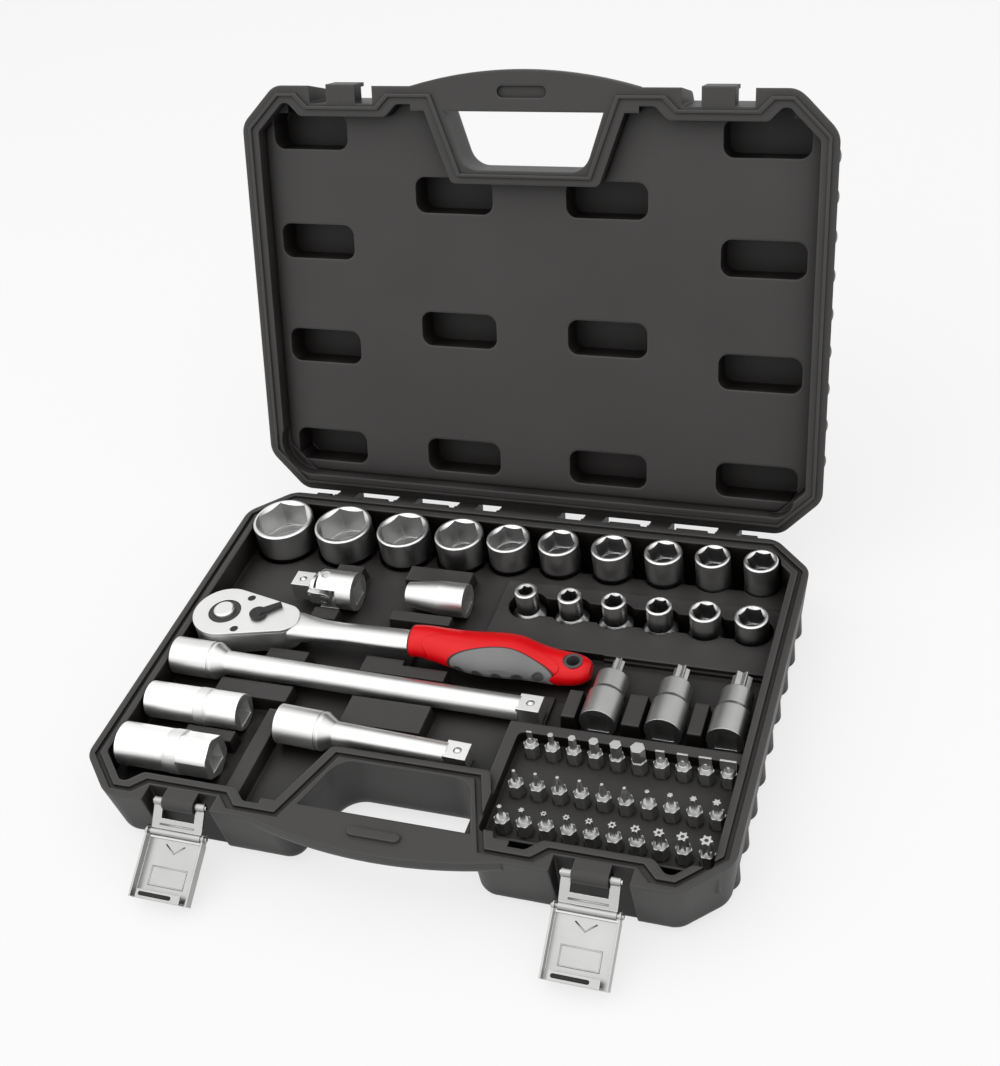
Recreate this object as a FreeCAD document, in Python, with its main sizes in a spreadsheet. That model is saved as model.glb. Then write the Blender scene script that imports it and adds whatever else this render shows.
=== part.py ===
import FreeCAD, Part
import math
import os
import re
import Sketcher

# Half-inch drive socket set in a hinged plastic case, lid open.
# Origin at the centre of the resting face, +X along the hinge, +Y to the hinge, +Z up.

SIZES = {
    # Case shells
    "case_width": 388,
    "case_depth": 276,
    "corner_cut": 25,
    "base_height": 44,
    "lid_height": 34,
    "wall_draft": 6,
    "corner_round": 14,
    "edge_round": 11,
    "rim_band": 11,
    "rim_overlap": 3,
    "past": 1,
    # Tongue on the lid and groove in the base, both measured from the tray wall
    "groove_near": 4,
    "groove_width": 3,
    "groove_depth": 2,
    "tongue_clearance": 0.5,
    "tongue_back": 100,
    # Tray levels, measured from the rim or the resting face
    "deck_drop": 18,
    "block_drop": 8,
    "block_slope": 1.5,
    "shelf_rise": 3,
    "shelf_left": 4,
    "shelf_front": 34,
    "shelf_back": 90,
    "trough_floor": 5,
    "back_trough_floor": 7,
    "tray_round": 4,
    "seat_gap": 0.25,
    "well_gap": 1.6,
    "back_gap": 1.2,
    # Lid panel and its recesses
    "lid_recess": 10,
    "lid_skin": 4,
    "panel_fit": 0.2,
    "panel_round": 7,
    "panel_length": 53,
    "panel_height": 23,
    "outer_panel_x": 150,
    "outer_panel_pitch": 72,
    "inner_panel_x": 51,
    "inner_panel_back": 108,
    "inner_panel_pitch": 88.5,
    "panel_notch_width": 17,
    "panel_notch_offset": 6.5,
    "panel_notch_reach": 25,
    # Carrying handle
    "handle_half": 74,
    "handle_bulge": 10,
    "handle_inner": 123,
    "handle_depth": 11,
    "handle_round": 6.5,
    "hole_back": 87,
    "hole_back_half": 40,
    "hole_front_half": 52,
    "hole_round": 14,
    "mouth_round": 12,
    "handle_wall": 8.5,
    "handle_slant": 18,
    "key_half": 15.5,
    "key_width": 6,
    "key_proud": 1.6,
    "key_clearance": 0.5,
    "key_from_edge": 13,
    # Side ribs
    "rib_count": 9,
    "rib_pitch": 24,
    "rib_radius": 9,
    "rib_inset": 2.8,
    "rib_low": 6,
    "rib_flange": 8,
    # Hinge
    "hinge_back": 4.6,
    "hinge_drop": 9.4,
    "hinge_pin_radius": 2,
    "hinge_pin_length": 316,
    "knuckle_radius": 5.2,
    "knuckle_fit": 0.05,
    "knuckle_pitch": 45,
    "knuckle_width": 14,
    "middle_knuckle_width": 43,
    "base_knuckle_width": 20,
    "end_knuckle_x": 150,
    "end_knuckle_width": 10,
    "lug_gap": 0.6,
    "lug_height": 18,
    "lid_open": 109.5,
    # Latches
    "latch_x": 122,
    "notch_half": 22,
    "notch_depth": 11,
    "notch_wall": 8,
    "notch_slant": 8,
    "barrel_radius": 4.5,
    "barrel_half": 10,
    "latch_pin_radius": 1.25,
    "latch_pin_half": 17,
    "latch_fit": 0.06,
    "link_length": 17.5,
    "link_plate": 1.5,
    "link_half": 16,
    "link_arm": 5.5,
    "link_arm_gap": 0.6,
    "link_bridge": 8,
    "link_eye": 2.4,
    "link_angle": 45,
    "link_closed_angle": 15,
    "trunnion_radius": 1.5,
    "trunnion_proud": 1.2,
    "lever_length": 38,
    "lever_half": 18.5,
    "lever_plate": 1,
    "lever_pivot_in": 2.8,
    "lever_flange": 5.3,
    "lever_depth": 6,
    "lever_return": 5,
    "lever_return_half": 14,
    "lever_ear": 3.2,
    "lever_angle": 61,
    "hook_thickness": 2.4,
    "hook_clearance": 0.5,
    # Half-inch square drive
    "square": 12.7,
    "square_hole": 12.9,
    "square_length": 13,
    "square_depth": 14,
    "ball_radius": 2.4,
    "ball_proud": 0.9,
    "ball_fit": 0.05,
    "ball_travel_room": 1.2,
    # Hexagon sockets
    "small_socket_length": 39,
    "front_socket_length": 37,
    "middle_socket_length": 40,
    "large_socket_length": 40.5,
    "socket_drive_length": 17,
    "socket_cone": 4,
    "socket_hex_fit": 0.3,
    "small_hex_depth": 13,
    "large_hex_depth": 19,
    "socket_bore_in": 0.5,
    "socket_bore_length": 5,
    "socket_rim_chamfer": 0.8,
    "socket_lead": 1.5,
    "socket_lead_over": 0.2,
    "front_row_y": 69,
    "front_row_left": 23.1,
    "front_row_pitch": 28.66,
    "trough_width": 20,
    "front_trough_half": 8,
    # Extensions
    "long_extension_length": 242,
    "short_extension_length": 119,
    "extension_head_radius": 11.75,
    "extension_head_length": 29,
    "extension_cone": 7,
    "extension_shaft_radius": 7.5,
    "extension_groove": 0.6,
    "extension_groove_x": 26,
    "extension_groove_width": 1.2,
    "long_extension_x": -181.5,
    "long_extension_y": -21.5,
    "short_extension_x": -89.4,
    "short_extension_y": -64.3,
    # Bit adapter
    "adapter_length": 40,
    "adapter_radius": 11,
    "adapter_nose_radius": 8,
    "adapter_nose_length": 22,
    "adapter_hex": 8.1,
    "adapter_hex_depth": 20,
    "adapter_x": -53,
    "adapter_y": 58,
    # Universal joint
    "ujoint_x": -107,
    "ujoint_y": 53,
    "ujoint_radius": 12.5,
    "ujoint_socket_reach": 20,
    "ujoint_arm_reach": 4.5,
    "ujoint_slot_half": 7.6,
    "ujoint_slot_depth": 9,
    "ujoint_square_depth": 10,
    "ujoint_pin_radius": 2.8,
    "ujoint_pin_fit": 0.05,
    "ujoint_pin_half": 10.6,
    "ujoint_block_half": 4.6,
    "ujoint_block_width_half": 5,
    "ujoint_fork_inner": 5.5,
    "ujoint_fork_outer": 10.6,
    "ujoint_fork_half": 4.6,
    "ujoint_hub_near": 8.5,
    "ujoint_hub_far": 11,
    "ujoint_hub_radius": 7.5,
    # Spark plug sockets
    "plug_small_hex": 16.2,
    "plug_small_radius": 11.25,
    "plug_small_length": 63,
    "plug_small_x": -180,
    "plug_small_y": -59,
    "plug_large_hex": 20.9,
    "plug_large_radius": 13,
    "plug_large_length": 61,
    "plug_large_x": -178,
    "plug_large_y": -97,
    "plug_hex_depth": 16,
    "plug_bore_length": 30,
    "plug_bore_in": 0.2,
    "plug_band_x": 34,
    "plug_band_width": 7,
    "plug_band_proud": 0.3,
    "plug_flats": 24,
    "plug_flats_length": 20,
    "rubber_fit": 0.05,
    "rubber_from": 22,
    "rubber_length": 18,
    "rubber_hole": 4.8,
    # Bit sockets
    "bit_socket_radius": 11,
    "bit_socket_neck_radius": 9.6,
    "bit_socket_base_length": 20,
    "bit_socket_step": 3,
    "bit_socket_length": 36,
    "bit_socket_reach": 51,
    "bit_socket_y": -25,
    "bit_socket_drop": 21,
    "bit_socket_press": 12,
    "bit_socket_fit": 0.02,
    "star_collar": 2,
    "star_point": 1.1,
    "bit_socket_left_x": 95,
    "bit_socket_middle_x": 133.5,
    "bit_socket_right_x": 169.5,
    "bit_socket_left_star": 3.4,
    "bit_socket_middle_star": 4.6,
    "bit_socket_right_star": 5.8,
    "bit_pocket_left": 62,
    "bit_pocket_front": -34,
    "bit_pocket_back": 33,
    # Insert bits and their rack
    "bit_hex": 8,
    "bit_hole_fit": 0.15,
    "bit_length": 30,
    "bit_shank": 20,
    "bit_shoulder": 2,
    "bit_tip_sink": 1,
    "slot_neck_radius": 1,
    "slot_neck_back": 5,
    "slot_blade_length": 7,
    "slot_blade": 1.2,
    "cross_point": 0.9,
    "cross_vane": 1.4,
    "cross_rib": 0.7,
    "cross_rib_reach": 0.75,
    "star_hole_depth": 3,
    "star_hole_ratio": 0.333,
    "bit_top_over_rim": 7,
    "bit_left": 64.2,
    "bit_pitch": 12.6,
    "bit_back_row_y": -52.5,
    "bit_middle_row_y": -81.5,
    "bit_front_row_y": -107,
    "rack_left": 47,
    "rack_back": -37,
    "rack_drop": 4,
    "rack_wall": 7,
    "rack_floor_drop": 12,
    # Ratchet
    "ratchet_x": -162,
    "ratchet_y": 12.3,
    "ratchet_turn": 1.15,
    "ratchet_top_over_rim": 4,
    "head_radius": 21,
    "head_tail_radius": 12,
    "head_tail_x": 40,
    "head_half_height": 8.5,
    "cover_thickness": 2,
    "cover_hole_gap": 0.3,
    "gear_room_radius": 16.2,
    "gear_room_low": 6,
    "gear_teeth": 36,
    "gear_tip_radius": 15.2,
    "gear_root_radius": 14.2,
    "gear_low": 5.8,
    "gear_high": 4,
    "gear_boss_radius": 11,
    "gear_hub_radius": 10.4,
    "gear_hub_top": 8.3,
    "gear_boss_gap": 0.2,
    "button_radius": 6.8,
    "button_gap": 0.15,
    "button_low": 4.2,
    "button_top": 11.3,
    "button_room": 1,
    "button_stem_radius": 1.4,
    "button_stem_low": 14,
    "button_crown": 1,
    "stem_room_floor": 2,
    "button_spring_radius": 4.5,
    "button_spring_wire": 0.4,
    "button_spring_turns": 2,
    "spring_clearance": 0.05,
    "spring_post": 0.7,
    "drive_square_low": 20.5,
    "drive_ball_z": -14.5,
    "screw_x": 13,
    "screw_y": 14.2,
    "screw_radius": 1.5,
    "screw_head_radius": 2.6,
    "screw_head": 1,
    "screw_sink": 0.2,
    "screw_low": 1,
    "screw_fit": 0.05,
    "switch_x": 24,
    "switch_shaft_radius": 3.2,
    "switch_fit": 0.1,
    "switch_low": -3,
    "switch_disc_radius": 5.6,
    "switch_disc": 1.9,
    "switch_gap": 0.2,
    "switch_arm": 16,
    "switch_arm_half": 2.6,
    "switch_tip_half": 1.2,
    "switch_arm_rise": 0.7,
    "switch_angle": 40,
    "pawl_room_half": 9,
    "pawl_room_far": 28.5,
    "pawl_half": 6.5,
    "pawl_far": 20,
    "pawl_gear_gap": 0.8,
    "pawl_low": 5,
    "pawl_high": 4,
    "pawl_spring_radius": 0.9,
    "pawl_spring_wire": 0.2,
    "pawl_spring_turns": 4,
    "pawl_spring_length": 3,
    "pawl_spring_room": 0.15,
    "pawl_spring_back": 0.3,
    "neck_start": 36,
    "neck_wide_half": 11.5,
    "neck_narrow_x": 66,
    "neck_step": 0.6,
    "shaft_half": 7.8,
    "shaft_thickness": 9,
    "shaft_rise": 1,
    "belly_sink": 1.2,
    "tail_sink": 8,
    "tang_length": 55,
    "tang_half": 6,
    "tang_half_height": 3.5,
    "tang_fit": 0.05,
    # Grip
    "grip_start": 128,
    "grip_end": 243,
    "grip_collar_half": 10.6,
    "grip_collar_height": 9,
    "grip_collar_length": 14,
    "grip_collar_flare": 0.6,
    "grip_belly_from": 42.5,
    "grip_belly_to": 70.5,
    "grip_tail_back": 16,
    "grip_taper_back": 6,
    "grip_taper_in": 2.2,
    "grip_taper_down": 1.6,
    "grip_tip_back": 1.5,
    "grip_tip_in": 6,
    "grip_tip_down": 4.5,
    "grip_belly_half": 14.6,
    "grip_belly_height": 11,
    "grip_belly_shift": -1.6,
    "grip_tail_half": 11.6,
    "grip_tail_height": 8.6,
    "inlay_x": 181,
    "inlay_y": -7.5,
    "inlay_half_length": 43,
    "inlay_half_width": 10,
    "inlay_depth": 2,
    "inlay_proud": 0.4,
    "hang_x": 231,
    "hang_ring_radius": 6,
    "hang_hole_radius": 4.2,
    "hang_ring_half": 7.6,
    "hang_fit": 0.03,
    "grip_pocket_gap": 1.2,
    "drive_well_radius": 14,
}

# Hexagon sockets left to right: across flats, place along X, outside and drive-end diameters
BACK_ROW = {
    32: (-162.5, 41.5, 33),
    30: (-118, 39, 31),
    27: (-75, 35.5, 29),
    24: (-35.5, 32.5, 27),
    21: (-1.9, 28.5, 25),
    19: (32.2, 26.5, 24),
    18: (67.5, 25.8, 23.6),
    17: (101.5, 24.2, 23.2),
    16: (133, 22.2, 23),
    15: (163.5, 21.5, 22.6),
}
FRONT_ROW = {8: (14.5, 22), 9: (15, 22), 10: (15.4, 22), 11: (16.2, 22), 13: (19.2, 22.2), 14: (20.5, 22.4)}

for flats, (across, outside, drive_end) in BACK_ROW.items():
    SIZES[f"socket_{flats}_x"] = across
    SIZES[f"socket_{flats}_outside"] = outside
    SIZES[f"socket_{flats}_drive_end"] = drive_end
for flats, (outside, drive_end) in FRONT_ROW.items():
    SIZES[f"socket_{flats}_outside"] = outside
    SIZES[f"socket_{flats}_drive_end"] = drive_end

# Raised blocks of the tray: left, right, front, back
BLOCKS = {
    "neck": (-127, -97, -12.5, -0.7),
    "shaft": (-62, -4, -12.5, 3.3),
    "left_middle": (-147, -95, -46, -30.5),
    "right_middle": (-58, -4, -55, -30.5),
    "joint_front": (-113, -93, 27, 39.3),
    "joint_back": (-113, -92, 66.7, 81),
    "adapter_front": (-60, -17, 34, 44.8),
    "adapter_back": (-63, -17, 71.2, 87),
    "plug": (-150, -115, -82.5, -71.5),
    "wall": (-105, -92.5, -118, -50),
    "first_bit": (71.5, 82.5, -26, -2),
    "second_bit": (107.5, 121, -26, 1),
    "third_bit": (146, 157, -26, 1),
}
# Tips of the insert bits, smallest first: across flats, blade width or outer radius
TIPS = {
    "hexagon": (3, 4, 5, 6, 7.4),
    "slotted": (3, 5, 6, 7, 9),
    "cross": (2.2, 2.7, 3.2),
    "star": (1.4, 1.7, 2, 2.3),
    "holed_star": (1.7, 1.9, 2.1, 2.3, 2.6, 2.9, 3.2, 3.5),
}
for name, widths in TIPS.items():
    for i, width in enumerate(widths):
        SIZES[f"{name}_tip_{i}"] = width
for name, sides in BLOCKS.items():
    for side, place in zip(("left", "right", "front", "back"), sides):
        SIZES[f"{name}_block_{side}"] = place

RIM = "base_height"
DECK = "(base_height - deck_drop)"
BACK_EDGE = "(case_depth/2)"
HINGE_Y = "(case_depth/2 + hinge_back)"
HINGE_Z = "(base_height - hinge_drop)"
PIVOT_Y = "(barrel_radius - case_depth/2)"
PIVOT_Z = "(base_height - barrel_radius)"

doc = FreeCAD.newDocument("socket_set")
sheet = doc.addObject("Spreadsheet::Sheet", "sizes")
for row, (name, size) in enumerate(SIZES.items(), start=1):
    sheet.set(f"A{row}", name)
    sheet.set(f"B{row}", str(size))
    sheet.setAlias(f"B{row}", name)
doc.recompute()

NODES = []
ALONG = {
    "x": FreeCAD.Rotation(FreeCAD.Vector(0, 1, 0), 90),
    "y": FreeCAD.Rotation(FreeCAD.Vector(1, 0, 0), -90),
    "z": FreeCAD.Rotation(),
}
SECTION = FreeCAD.Rotation(FreeCAD.Vector(1, 1, 1), 120)


def bound(formula):
    """A formula of size names, as an expression on the sheet's cells."""
    return re.sub(r"[a-z][a-z_0-9]*", lambda word: cell(word.group(0)), str(formula))


def cell(word):
    return "sizes." + word if word in SIZES else word


def number(formula):
    return float(sheet.evalExpression(bound(formula)))


def bind(piece, name, formula):
    piece.setExpression(name, bound(formula))


def place(piece, x=0, y=0, z=0):
    for axis, formula in zip("xyz", (x, y, z)):
        bind(piece, "Placement.Base." + axis, formula)
    return piece


def turn(piece, axis, degrees):
    piece.Placement.Rotation = FreeCAD.Rotation(FreeCAD.Vector(*axis), 1)
    bind(piece, "Placement.Rotation.Angle", degrees)
    return piece


def made(kind, **sizes):
    piece = doc.addObject("Part::" + kind, kind.lower())
    for name, formula in sizes.items():
        bind(piece, name, formula)
    return piece


def box(x, y, z):
    low, high = zip(x, y, z)
    spans = [f"({b}) - ({a})" for a, b in zip(low, high)]
    return place(made("Box", Length=spans[0], Width=spans[1], Height=spans[2]), *low)


def point_on(axis, along, across):
    at = list(across)
    at.insert("xyz".index(axis), along)
    return at


def rod(axis, radius, low, high, across=(0, 0)):
    piece = made("Cylinder", Radius=radius, Height=f"({high}) - ({low})")
    piece.Placement.Rotation = ALONG[axis]
    return place(piece, *point_on(axis, low, across))


def cone(axis, low_radius, high_radius, low, high, across=(0, 0)):
    piece = made("Cone", Radius1=low_radius, Radius2=high_radius, Height=f"({high}) - ({low})")
    piece.Placement.Rotation = ALONG[axis]
    return place(piece, *point_on(axis, low, across))


def prism(axis, sides, radius, low, high, across=(0, 0), spin=0):
    """A regular prism, its corners on a circle of the given radius."""
    piece = made("Prism", Circumradius=radius, Height=f"({high}) - ({low})")
    piece.Polygon = sides
    piece.Placement.Rotation = ALONG[axis].multiply(FreeCAD.Rotation(FreeCAD.Vector(0, 0, 1), spin))
    return place(piece, *point_on(axis, low, across))


def hexagon(axis, flats, low, high, across=(0, 0), spin=0):
    return prism(axis, 6, f"({flats})/sqrt(3)", low, high, across, spin)


def ball(radius, x, y, z):
    return place(made("Sphere", Radius=radius), x, y, z)


def fuse(*pieces):
    joined = doc.addObject("Part::MultiFuse", "joined")
    joined.Shapes = list(pieces)
    joined.Refine = True
    return joined


def cut(base, *tools):
    result = doc.addObject("Part::Cut", "cut")
    result.Base = base
    result.Tool = tools[0] if len(tools) == 1 else fuse(*tools)
    result.Refine = True
    return result


def overlap(first, second):
    result = doc.addObject("Part::Common", "overlap")
    result.Base = first
    result.Tool = second
    return result


def bundle(pieces):
    group = doc.addObject("Part::Compound", "group")
    group.Links = list(pieces)
    return group


def outline(corners, low, axis="z"):
    """A closed sketch whose corners are bound to the sheet, lying across an axis."""
    flat = doc.addObject("Sketcher::SketchObject", "outline")
    points = [FreeCAD.Vector(number(u), number(v), 0) for u, v in corners]
    count = len(points)
    for i, point in enumerate(points):
        flat.addGeometry(Part.LineSegment(point, points[(i + 1) % count]), False)
    for i in range(count):
        flat.addConstraint(Sketcher.Constraint("Coincident", i, 2, (i + 1) % count, 1))
    for i, corner in enumerate(corners):
        for kind, formula in zip(("DistanceX", "DistanceY"), corner):
            index = flat.addConstraint(Sketcher.Constraint(kind, -1, 1, i, 1, number(formula)))
            bind(flat, f"Constraints[{index}]", formula)
    if axis == "y":
        flat.Placement.Rotation = FreeCAD.Rotation(FreeCAD.Vector(1, 0, 0), 90)
    bind(flat, "Placement.Base." + axis, low)
    return flat


def slab(corners, low, high, axis="z"):
    raised = doc.addObject("Part::Extrusion", "slab")
    raised.Base = outline(corners, low, axis)
    raised.DirMode = "Custom"
    raised.Dir = FreeCAD.Vector(0, 1, 0) if axis == "y" else FreeCAD.Vector(0, 0, 1)
    raised.Solid = True
    bind(raised, "LengthFwd", f"({high}) - ({low})")
    return raised


def loft(sections, ruled=False):
    skin = doc.addObject("Part::Loft", "loft")
    skin.Sections = sections
    skin.Solid = True
    skin.Ruled = ruled
    return skin


def rounded(piece, radius, chosen):
    """Rounds the edges that chosen picks, by their two end points."""
    doc.recompute()
    result = doc.addObject("Part::Fillet", "rounded")
    result.Base = piece
    size = number(radius)
    edges = [i for i, edge in enumerate(piece.Shape.Edges, start=1) if chosen(edge)]
    result.Edges = [(i, size, size) for i in edges]
    return result


def spans_height(edge):
    heights = [vertex.Z for vertex in edge.Vertexes]
    return len(heights) == 2 and abs(heights[1] - heights[0]) > 1


def lies_at(height):
    level = number(height)
    return lambda edge: all(abs(vertex.Z - level) < 0.01 for vertex in edge.Vertexes)


def beside_handle(edge):
    """The edges where the handle hole opens through the front wall."""
    in_front = all(vertex.Y < -number("hole_back + 2*hole_round") for vertex in edge.Vertexes)
    between = all(abs(vertex.X) < number("handle_half") for vertex in edge.Vertexes)
    return spans_height(edge) and in_front and between


def node(label, piece, x=0, y=0, z=0):
    piece.Label = label
    place(piece, x, y, z)
    NODES.append(piece)
    return piece


def octagon(inset):
    wide = f"(case_width/2 - ({inset}))"
    deep = f"(case_depth/2 - ({inset}))"
    nick = f"(corner_cut - ({inset})*(2 - sqrt(2)))"
    right = [(f"{wide} - {nick}", f"-{deep}"), (wide, f"{nick} - {deep}")]
    right += [(wide, f"{deep} - {nick}"), (f"{wide} - {nick}", deep)]
    left = [(f"-({x})", y) for x, y in reversed(right)]
    return right + left


def tray_outline(gap):
    """The tray's wall moved out by gap, going round the handle hole and both latch notches."""
    corners = octagon(f"rim_band - ({gap})")
    front = corners[0][1]
    notch = f"(notch_half + notch_wall - ({gap}))"
    notch_back = f"(notch_depth + notch_wall - case_depth/2 - ({gap}))"
    hole = f"(hole_back_half + handle_wall - ({gap}))"
    hole_back = f"(handle_wall - hole_back - ({gap}))"
    right = [(f"{hole}", hole_back), (f"{hole} + handle_slant", front)]
    right += [(f"latch_x - {notch} - notch_slant", front), (f"latch_x - {notch}", notch_back)]
    right += [(f"latch_x + {notch}", notch_back), (f"latch_x + {notch} + notch_slant", front)]
    left = [(f"-({x})", y) for x, y in reversed(right)]
    return left + right + corners


def shell(low, high, low_inset, high_inset):
    """The drafted eight-sided outside of one half of the case, open at the handle, free edges rounded."""
    sections = [outline(octagon(low_inset), low), outline(octagon(high_inset), high)]
    corners = rounded(loft(sections, ruled=True), "corner_round", spans_height)
    free = low if number(low_inset) > number(high_inset) else high
    closed = rounded(corners, "edge_round", lies_at(free))
    opened = cut(closed, handle_hole(f"{low} - past", f"{high} + past"))
    opened = rounded(opened, "mouth_round", beside_handle)
    return cut(opened, *notches(f"{low} - past", f"{high} + past"))


def side_ribs(low, high):
    ribs = []
    for i in range(int(number("rib_count"))):
        along = f"({i} - (rib_count - 1)/2)*rib_pitch"
        for sign in ("", "-"):
            across = (f"{sign}(case_width/2 - rib_inset - rib_radius)", along)
            ribs.append(rod("z", "rib_radius", low, high, across))
    return ribs


def handle_hole(low, high):
    back = "-hole_back"
    front = "-case_depth"
    flare = "(hole_front_half - hole_back_half)/(handle_inner - hole_back)"
    reach = f"(hole_back_half + {flare}*(case_depth - hole_back))"
    corners = [("-hole_back_half", back), (f"-{reach}", front), (reach, front), ("hole_back_half", back)]
    return rounded(slab(corners, low, high), "hole_round", spans_height)


def handle_bar(low, high, free):
    """The arched grip bar in front of the hole, half round where it faces away from the rim."""
    arc = "(handle_half^2 + handle_bulge^2)/(2*handle_bulge)"
    front = "(case_depth/2 + handle_bulge)"
    disc = rod("z", arc, low, high, (0, f"{arc} - {front}"))
    block = box(("-handle_half", "handle_half"), (f"-{front} - past", "-handle_inner"), (low, high))
    on_free = lies_at(free)
    long_edge = lambda edge: on_free(edge) and edge.Length > number("handle_half")
    return rounded(overlap(disc, block), "handle_round", long_edge)


def notches(low, high):
    cuts = []
    for sign in ("", "-"):
        middle = f"{sign}latch_x"
        x = (f"{middle} - notch_half", f"{middle} + notch_half")
        cuts.append(box(x, ("-case_depth/2 - past", "notch_depth - case_depth/2"), (low, high)))
    return cuts


def key_slot(grow, low, high):
    """The long rounded key that lines the two handle halves up."""
    middle = "(key_from_edge - case_depth/2 - handle_bulge)"
    half = f"(key_width/2 + ({grow}))"
    ends = [rod("z", half, low, high, (f"{sign}(key_half - key_width/2)", middle)) for sign in ("", "-")]
    x = ("key_width/2 - key_half", "key_half - key_width/2")
    bar = box(x, (f"{middle} - {half}", f"{middle} + {half}"), (low, high))
    return fuse(bar, *ends)


def mesa(name):
    """A raised block of the tray with sloping sides."""
    left, right, front, back = (f"{name}_block_{side}" for side in ("left", "right", "front", "back"))
    low = f"({DECK} - (bit_socket_drop - deck_drop) - seat_gap)"
    top = f"({RIM} - block_drop)"
    piece = made("Wedge", Xmin=left, X2min=f"{left} + block_slope", Xmax=right)
    bind(piece, "X2max", f"{right} - block_slope")
    bind(piece, "Zmin", f"-{back}")
    bind(piece, "Z2min", f"block_slope - {back}")
    bind(piece, "Zmax", f"-{front}")
    bind(piece, "Z2max", f"-{front} - block_slope")
    bind(piece, "Ymin", low)
    bind(piece, "Ymax", top)
    piece.Placement.Rotation = FreeCAD.Rotation(FreeCAD.Vector(1, 0, 0), 90)
    return piece


def socket_place(flats):
    """Where a hexagon socket stands, as formulas of X and Y."""
    if flats in FRONT_ROW:
        step = list(FRONT_ROW).index(flats)
        return f"front_row_left + {step}*front_row_pitch", "front_row_y"
    return f"socket_{flats}_x", f"case_depth/2 - rim_band - back_gap - socket_{flats}_outside/2"


def socket_floor(flats):
    return "trough_floor" if flats in FRONT_ROW else "back_trough_floor"


def socket_wells():
    top = f"{RIM} + past"
    wells = []
    for flats in list(BACK_ROW) + list(FRONT_ROW):
        wide = f"socket_{flats}_drive_end" if flats in FRONT_ROW else f"socket_{flats}_outside"
        wells.append(rod("z", f"{wide}/2 + well_gap", socket_floor(flats), top, socket_place(flats)))
    back = "(case_depth/2 - rim_band)"
    first, last = max(BACK_ROW), min(BACK_ROW)
    x = (f"socket_{first}_x", f"socket_{last}_x")
    wells.append(box(x, (f"{back} - trough_width", back), ("back_trough_floor", top)))
    row_end = f"front_row_left + {len(FRONT_ROW) - 1}*front_row_pitch"
    y = ("front_row_y - front_trough_half", "front_row_y + front_trough_half")
    wells.append(box(("front_row_left", row_end), y, ("trough_floor", top)))
    return wells


def bit_place(row, i):
    return f"bit_left + {i}*bit_pitch", f"bit_{row}_row_y"


BIT_FOOT = f"({RIM} + bit_top_over_rim - bit_length)"


def rack_cuts():
    floor = f"({RIM} - rack_floor_drop)"
    inside = "(case_width/2 - rim_band)"
    front = "(notch_depth + notch_wall - case_depth/2)"
    y = (f"{front} + seat_gap", "rack_back - rack_wall")
    recess = box(("rack_left + rack_wall", inside), y, (floor, f"{RIM} + past"))
    cuts = [rounded(recess, "tray_round", spans_height)]
    for row in ("back", "middle", "front"):
        for i in range(10):
            flats = "bit_hex + 2*bit_hole_fit"
            cuts.append(hexagon("z", flats, f"{BIT_FOOT} - seat_gap", f"{floor} + past", bit_place(row, i)))
    return cuts


def row_shelf():
    """The step of the deck that the second row of sockets stands in."""
    x = ("shelf_left", "case_width/2 - rim_band + rim_overlap")
    return box(x, ("shelf_front", "shelf_back"), (f"{DECK} - past", f"{DECK} + shelf_rise"))


RATCHET_Z = f"({RIM} + ratchet_top_over_rim - head_half_height)"


def ratchet_pockets():
    """A well for the drive square and a lowered bed for the grip."""
    well_floor = f"({RATCHET_Z} - drive_square_low - seat_gap)"
    well = rod("z", "drive_well_radius", well_floor, RIM, ("ratchet_x", "ratchet_y"))
    wide = "(grip_belly_half - grip_belly_shift + grip_pocket_gap)"
    x = ("ratchet_x + grip_start - grip_pocket_gap", "ratchet_x + grip_end + grip_pocket_gap")
    near, far = "grip_start*sin(ratchet_turn*1deg)", "grip_end*sin(ratchet_turn*1deg)"
    y = (f"ratchet_y - {wide} + {near}", f"ratchet_y + {wide} + {far}")
    floor = f"({RATCHET_Z} - tail_sink - grip_tail_height - seat_gap)"
    return [well, box(x, y, (floor, RIM))]


def knuckle(middle, width):
    half = f"({width})/2"
    return rod("x", "knuckle_radius", f"({middle}) - {half}", f"({middle}) + {half}", (HINGE_Y, HINGE_Z))


def base_knuckles():
    """Snap-in knuckles, open towards the front and top so that the pin can be pressed in."""
    places = [(f"{n}*knuckle_pitch", "base_knuckle_width") for n in (-2.5, -1.5, 1.5, 2.5)]
    places += [("-end_knuckle_x", "end_knuckle_width"), ("end_knuckle_x", "end_knuckle_width")]
    solids, mouths = [], []
    for middle, width in places:
        x = (f"({middle}) - ({width})/2", f"({middle}) + ({width})/2")
        foot = (f"{HINGE_Z} - knuckle_radius", HINGE_Z)
        solids.append(knuckle(middle, width))
        solids.append(box(x, (f"{BACK_EDGE} - rim_overlap", HINGE_Y), foot))
        top = f"{HINGE_Z} + knuckle_radius + past"
        mouths.append(box(x, (f"{HINGE_Y} - knuckle_radius - past", HINGE_Y), (HINGE_Z, top)))
    return solids, mouths


def lid_knuckles():
    places = [(f"{n}*knuckle_pitch", "knuckle_width") for n in (-3, -2, -1, 1, 2, 3)]
    places.append(("0", "middle_knuckle_width"))
    solids = []
    for middle, width in places:
        x = (f"({middle}) - ({width})/2", f"({middle}) + ({width})/2")
        out = f"{HINGE_Y} + knuckle_radius"
        solids.append(knuckle(middle, width))
        solids.append(box(x, (f"{BACK_EDGE} + lug_gap", out), (HINGE_Z, f"{HINGE_Z} + lug_height")))
        arm = (f"{RIM} + lug_gap", f"{HINGE_Z} + lug_height")
        solids.append(box(x, (f"{BACK_EDGE} - rim_overlap", out), arm))
    return solids


def hinge_bore():
    reach = "hinge_pin_length"
    return rod("x", "hinge_pin_radius + knuckle_fit", f"-{reach}", reach, (HINGE_Y, HINGE_Z))


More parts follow.
